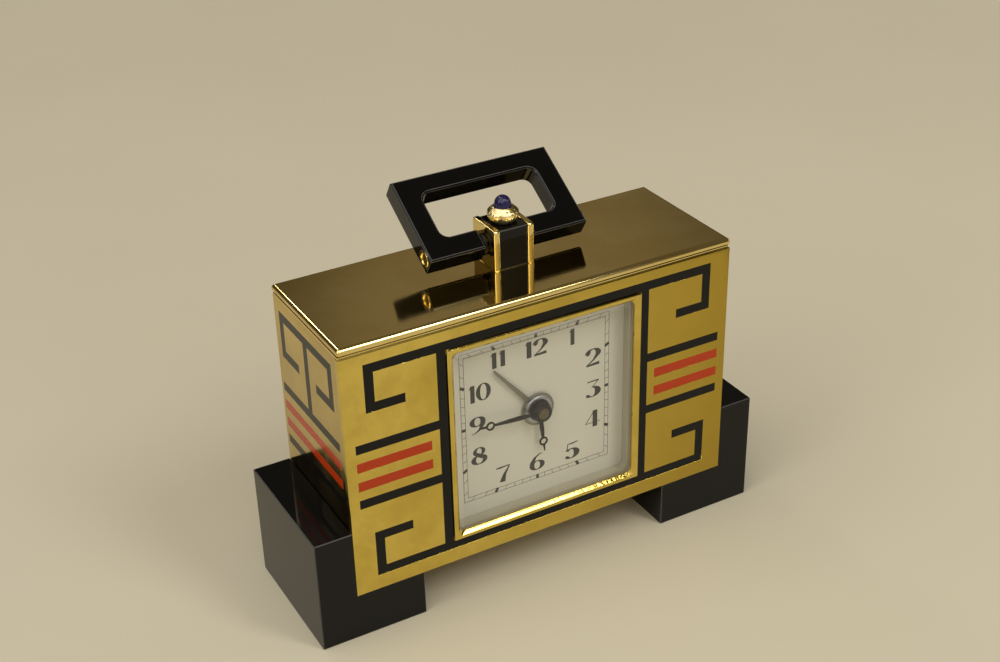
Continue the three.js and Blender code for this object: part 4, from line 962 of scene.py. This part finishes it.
# Finial. A flared gold collar with a hammered rim, and in it a fluted bullet of deep blue stone.
gem_low, gem_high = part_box("cabochon")
post_y, collar_z = centre_of("gem_collar").y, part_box("gem_collar")[0].z
collar_profile = [
    (0.0, 0.0), (2.1, 0.0), (2.3, 0.06), (2.62, 0.28), (2.88, 0.58), (3.08, 0.94), (3.22, 1.3), (3.31, 1.64),
    (3.35, 1.96), (3.32, 2.2), (3.22, 2.42), (3.06, 2.6), (2.86, 2.76), (2.66, 2.92), (2.44, 3.1),
    (2.24, 3.28), (2.08, 3.38), (1.94, 3.34), (1.89, 3.15), (0.0, 2.9),
]
dent_depth, bead_depth = 0.045, 0.045
add_noisy_finish(
    "beaded_gold", (0.80, 0.64, 0.26), (0.92, 0.80, 0.46),
    [(500.0, 4.0, 0.6), (1500.0, 2.0)], (0.2, 0.14), (0.2 * mm, 0.0, 1.0), cloudy=True, metallic=1.0,
)


def hammered(radius, angle, along):
    """The collar's radius, less the dents and the grooves between the beads, which fade at both ends."""
    height = along / mm
    share = max(0.0, min(1.0, (height - 0.1) / 0.5)) * max(0.0, min(1.0, (3.3 - height) / 0.25))
    blows = math.sin(angle * 9 + height * 3.1) * math.sin(angle * 4 - height * 4.7)
    blows += 0.8 * math.sin(angle * 13 - height * 5.3) * math.sin(angle * 6 + height * 2.9)
    half_turn = math.pi / 2 if height > 1.9 else 0.0
    beads = abs(math.sin(angle * 11 + half_turn)) ** 0.7
    return radius - mm * share * (dent_depth * (1.0 + blows) + bead_depth * (1.0 - beads))


collar_shape = turned(in_mm(collar_profile), (0.0, post_y, collar_z), (0, 0, 1), 176, hammered)
fit("finial_collar", collar_shape, "mirror_gold", "case", "gem_collar", finish="beaded_gold")

add_noisy_finish(
    "blue_stone", (0.004, 0.0035, 0.028), (0.014, 0.010, 0.085),
    [(700.0, 4.0, 0.6), (2600.0, 2.0)], (0.06, 0.0, 0.07),
)
gem_height, gem_radius = gem_high.z - gem_low.z, gem_high.x
gem_girdle, gem_steps = 0.22, 12
flute_share, flute_pairs = 0.08, 5
gem_profile = [(0.0, 0.0), (gem_radius, 0.0), (gem_radius, gem_height * gem_girdle)]
for step in range(1, gem_steps):
    angle = math.pi / 2 * step / gem_steps
    rise = gem_girdle + (1.0 - gem_girdle) * math.sin(angle)
    gem_profile.append((gem_radius * math.cos(angle) ** 0.9, gem_height * rise))
gem_profile.append((0.0, gem_height))


def fluted_gem(radius, angle, along):
    return radius * (1.0 - flute_share * (1 - abs(math.sin(angle * flute_pairs))))


gem_shape = turned(gem_profile, (0.0, post_y, gem_low.z), (0, 0, 1), 88, fluted_gem)
fit("finial_stone", gem_shape, "blue_stone", "case", "cabochon")


# Handle. A loop cut from black stone with chamfered edges, open at the post, swings on a gold plated pin
# that runs through both stubs. The pin has a turned head at each end, in a gold ferrule painted dark brown
# as painted shade, and dark washers fill the gaps beside the post.
fit("handle_stone", solid_of("handle_loop"), "black_stone", "handle", "handle_loop", width=0.08 * mm)
pin_low, pin_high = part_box("handle_pin")
pin_cap_low, pin_cap_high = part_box("handle_pin_cap")
pin_y, pin_z = centre_of("handle_pin").yz
pin_centre = (0.0, pin_y, pin_z)
pin_radius = 0.9 * mm
head_radius = (pin_high.y - pin_low.y) / 2
head_depth = pin_cap_high.x - pin_cap_low.x
# Radii and depths below the top of a head, in mm.
head_face = [
    (0.0, 0.12), (0.55, 0.14), (1.0, 0.21), (1.16, 0.22), (1.25, 0.1), (1.36, 0.01), (1.48, 0.0), (1.6, 0.06),
    (1.68, 0.17), (1.7, 0.3),
]
pin_profile = [(radius * mm, pin_low.x + depth * mm) for radius, depth in head_face]
pin_profile += [
    (head_radius, pin_low.x + head_depth), (pin_radius, pin_low.x + head_depth), (pin_radius, pin_high.x),
    (0.0, pin_high.x),
]
end_profile = [(0.0, pin_cap_low.x), (head_radius, pin_cap_low.x)]
end_profile += [(radius * mm, pin_cap_high.x - depth * mm) for radius, depth in reversed(head_face)]
for name, profile, node in (
    ("swing_pin", pin_profile, "handle_pin"), ("swing_pin_end", end_profile, "handle_pin_cap"),
):
    fit(name, turned(profile, pin_centre, (1, 0, 0), 40), "mirror_gold", "handle", node)

ferrule_sink = 0.02 * mm
ferrule_profile = [
    (1.8, 0.0), (2.12, 0.0), (2.2, 0.03), (2.24, 0.1), (2.24, 0.45), (1.8, 0.45), (1.8, 0.0),
]
for side, sign in (("left", 1), ("right", -1)):
    ferrule_origin = (-sign * (pin_cap_high.x - ferrule_sink), pin_y, pin_z)
    ferrule_shape = turned(in_mm(ferrule_profile), ferrule_origin, (sign, 0, 0))
    # The ferrules are gold, but take the dark brass finish as painted shade.
    fit(f"swing_ferrule_{side}", ferrule_shape, "mirror_gold", "handle", finish="aged_brass_and_shade")

washer_bore, washer_edge, washer_sink, washer_growth = 1.15 * mm, 0.3 * mm, 0.12 * mm, 0.07 * mm
for side in ("left", "right"):
    washer_low, washer_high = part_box(f"{side}_spacer")
    washer_radius = (washer_high.y - washer_low.y) / 2 + washer_growth
    near, far = washer_low.x - washer_sink, washer_high.x + washer_sink
    rim = []
    for degrees in range(0, 90, 15):
        cos, sin = math.cos(math.radians(degrees)), math.sin(math.radians(degrees))
        rim.append((washer_radius - washer_edge * (1 - sin), washer_edge * (1 - cos)))
    washer_profile = [
        (washer_bore, near),
        *((radius, near + depth) for radius, depth in rim),
        *((radius, far - depth) for radius, depth in reversed(rim)),
        (washer_bore, far),
        (washer_bore, near),
    ]
    washer_shape = turned(washer_profile, pin_centre, (1, 0, 0), 40)
    fit(f"{side}_washer", washer_shape, "black_steel", "handle", f"{side}_spacer", finish="black_lacquer")


# Back. A plain satin gold plated cover, held by four slotted screws, with the setting knobs, the alarm
# slide with its printed ON and OFF, and the battery hatch.
cover_low, cover_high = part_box("back_cover")
hatch_low, hatch_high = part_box("battery_hatch")
slide_low, slide_high = Vector((-14.85, 0.0, 50.9)) * mm, Vector((-9.15, 0.0, 52.9)) * mm
cover_chamfer, hatch_gap = 0.16 * mm, 0.2 * mm
screw_nodes = [f"back_cover_screw_{number}" for number in range(1, 5)]
screw_places = [centre_of(node) for node in screw_nodes]
hole_places = screw_places + [centre_of("time_knob"), centre_of("alarm_knob")]
cover_corners = [vertex.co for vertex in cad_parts["back_cover"].data.vertices]
cover_holes = [upright_box(slide_low, slide_high), upright_box(hatch_low, hatch_high, hatch_gap)]
for hole in hole_places:
    hole_radius = min(math.hypot(corner.x - hole.x, corner.z - hole.z) for corner in cover_corners)
    cover_holes.append(disc(hole_radius, hole.x, hole.z, 40))
cover_shape = flat_solid(
    [
        upright_box(cover_low, cover_high),
        upright_box(cover_low, cover_high, -cover_chamfer),
        upright_box(hatch_low, hatch_high, hatch_gap + cover_chamfer),
    ],
    cover_holes, cover_low.y, cover_high.y,
)
for vertex in cover_shape.verts:
    x, y, z = vertex.co
    outside = abs(x) > cover_high.x - touching or not cover_low.z + touching < z < cover_high.z - touching
    from_hatch = max(abs(x) - hatch_high.x, hatch_low.z - z, z - hatch_high.z)
    if y > cover_high.y - touching and (outside or abs(from_hatch - hatch_gap) < touching):
        vertex.co.y -= cover_chamfer
fit("back_panel", cover_shape, "satin_gold", "case", "back_cover")

figures["O"] = (0.84, bowl(0.0, 0.5, 0.3, 0.45, 0, 360, 0.15, 0.1, 36))
figures["N"] = (0.84, (
    pen((-0.27, 0.0, 0.13), (-0.27, 1.0, 0.13))
    + pen((-0.27, 0.96, 0.15), (0.27, 0.04, 0.15))
    + pen((0.27, 0.0, 0.13), (0.27, 1.0, 0.13))
))
figures["F"] = (0.7, (
    pen((-0.2, 0.0, 0.14), (-0.2, 1.0, 0.14))
    + pen((-0.25, 0.94, 0.12), (0.25, 0.94, 0.12))
    + pen((-0.22, 0.52, 0.12), (0.16, 0.52, 0.12))
))
mark_low, mark_high = 55.0 * mm, 56.4 * mm
mark_front, mark_back = cover_high.y - print_depth, cover_high.y + print_depth
for name, word, left, right in (("alarm_on_mark", "ON", 8.7, 11.1), ("alarm_off_mark", "OFF", 12.2, 15.6)):
    outlines = set_text(word, left * mm, mark_low, right * mm, mark_high)
    seen_from_behind = [[(-x, z) for x, z in loop] for loop in outlines]
    fit(name, flat_solid(seen_from_behind, [], mark_front, mark_back), "ink", "case")
fit("hatch_panel", solid_of("battery_hatch"), "satin_gold", "hatch", "battery_hatch", width=0.15 * mm)
fit("alarm_slider", solid_of("alarm_switch"), "black_steel", "alarm_slide", "alarm_switch",
    width=0.2 * mm, segments=3)

head_profile = [
    (0.0, -0.1), (1.9, -0.1), (1.9, 0.3), (1.86, 0.4), (1.76, 0.5), (1.45, 0.66), (1.0, 0.76), (0.5, 0.8),
    (0.0, 0.81),
]
head_shape = turned(in_mm(head_profile), (0.0, 0.0, 0.0), (0, 1, 0), 40)
slot_width, slot_depth, slot_length = 0.42 * mm, 0.9 * mm, 6.0 * mm
slot_shape = bmesh.new()
bmesh.ops.create_cube(slot_shape, size=1.0)
bmesh.ops.scale(slot_shape, vec=(slot_width, slot_depth, slot_length), verts=slot_shape.verts)
bmesh.ops.translate(slot_shape, vec=(0.0, slot_depth, 0.0), verts=slot_shape.verts)
slot_mesh = bpy.data.meshes.new("screw_slot")
slot_shape.to_mesh(slot_mesh)
slot_cutter = add_object("screw_slot", slot_mesh)
cut_slot = ("BOOLEAN", {"operation": "DIFFERENCE", "solver": "EXACT", "object": slot_cutter})
head_mesh = to_plain_mesh("screw_head", ease("screw_head", head_shape), cut_slot)
screw_head = bpy.data.objects.new("screw_head", head_mesh)


def corner_screws(net, size):
    """The same screw head at the four corners of an upright rectangle, each left at its own turn."""
    head = net.add("GeometryNodeObjectInfo", {"Object": screw_head}, "Geometry")
    grid = net.add("GeometryNodeMeshGrid", {
        "Size X": size["Span"], "Size Y": size["Rise"], "Vertices X": 2, "Vertices Y": 2,
    })
    place = net.vector(Y=size["Depth"], Z=size["Height"])
    upright = net.add("GeometryNodeTransform", {
        "Geometry": grid, "Translation": place, "Rotation": (math.pi / 2, 0.0, 0.0),
    })
    turn = net.add("FunctionNodeRandomValue", {2: 0.0, 3: math.pi, "Seed": 5}, 1)
    return net.add("GeometryNodeInstanceOnPoints", {
        "Points": upright, "Instance": head, "Rotation": net.vector(Y=turn),
    })


across, _, up = zip(*screw_places)
screw_sizes = {
    "Span": max(across) - min(across),
    "Rise": max(up) - min(up),
    "Depth": cover_high.y,
    "Height": sum(up) / len(up),
}
screw_mesh = grow("cover_screws", "mirror_gold", screw_sizes, corner_screws)
fit("cover_screws", screw_mesh, "mirror_gold", "case", *screw_nodes)
for helper in (slot_cutter, screw_head):
    bpy.data.objects.remove(helper)


knob_lip, flute_depth = 0.35 * mm, 0.33 * mm
for name, node, body, flutes in (
    ("time_setter", "time_knob", "minute", 24), ("alarm_setter", "alarm_knob", "alarm_setting", 20),
):
    knob_low, knob_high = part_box(node)
    knob_origin = centre_of(node)
    knob_origin.y = knob_low.y
    wide, tall = (knob_high.x - knob_low.x) / 2, knob_high.y - knob_low.y
    knob_profile = [
        (0.0, 0.0), (wide - knob_lip, 0.0), (wide - 0.1 * mm, 0.1 * mm), (wide, knob_lip),
        (wide, tall - knob_lip * 1.4), (wide - 0.12 * mm, tall - knob_lip * 0.6),
        (wide - knob_lip, tall - 0.08 * mm), (wide - knob_lip * 1.8, tall), (wide * 0.62, tall),
        (wide * 0.56, tall - 0.25 * mm), (wide * 0.3, tall - 0.34 * mm), (0.0, tall - 0.36 * mm),
    ]

    def fluted_knob(radius, angle, along, flutes=flutes, rim=wide * 0.9):
        if radius < rim:
            return radius
        return radius - flute_depth * (0.5 + 0.5 * math.cos(flutes * angle)) ** 1.6

    knob_shape = turned(knob_profile, knob_origin, (0, 1, 0), flutes * 10, fluted_knob)
    fit(name, knob_shape, "mirror_gold", body, node)


# Movement and battery. None of it shows from outside: brass wheels and arbors in a grey moulding, a coil, a
# circuit board, a buzzer and one dry cell.
def circuit_recipe(net, place):
    tracks = net.noise(place, (900.0, 900.0, 260.0), 1.0)
    mask = net.maths("GREATER_THAN", tracks, 0.55)
    return {
        "Base Color": net.tint(mask, (0.012, 0.085, 0.035), (0.03, 0.17, 0.07)),
        "Roughness": 0.3 + mask * 0.1,
        "relief": (mask, 0.02 * mm),
    }


def copper_recipe(net, place):
    turns = net.maths("SINE", net.axis(place, "X") * (math.tau / (0.25 * mm)))
    cloud = net.noise(place, 600.0, 2.0)
    return {
        "Base Color": net.tint(cloud, (0.50, 0.17, 0.06), (0.66, 0.26, 0.11)),
        "Roughness": 0.25 + cloud * 0.1,
        "relief": (turns, 0.05 * mm),
    }


def battery_recipe(net, place):
    band = net.maths("GREATER_THAN", net.axis(place, "X"), 6.0 * mm)
    grain = net.noise(place, 900.0, 2.0)
    return {
        "Base Color": net.tint(band, (0.02, 0.02, 0.022), (0.45, 0.26, 0.07)),
        "Roughness": 0.25 + grain * 0.12,
        "Metallic": band * 0.8,
    }


add_noisy_finish("brass", (0.70, 0.47, 0.17), (0.80, 0.58, 0.25), [(200.0, 3.0)], (0.24, 0.14), metallic=1.0)
add_noisy_finish(
    "moulding", (0.50, 0.49, 0.45), (0.58, 0.57, 0.53), [(1600.0, 3.0)], (0.5, 0.15), (0.01 * mm, 1.0),
)
add_finish("circuit", circuit_recipe)
add_finish("copper", copper_recipe, metallic=1.0)
add_finish("battery_wrap", battery_recipe)
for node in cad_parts.values():
    for place in node.material_slots:
        place.material = finishes[place.material.name.split(".")[0]]


bpy.context.view_layer.update()
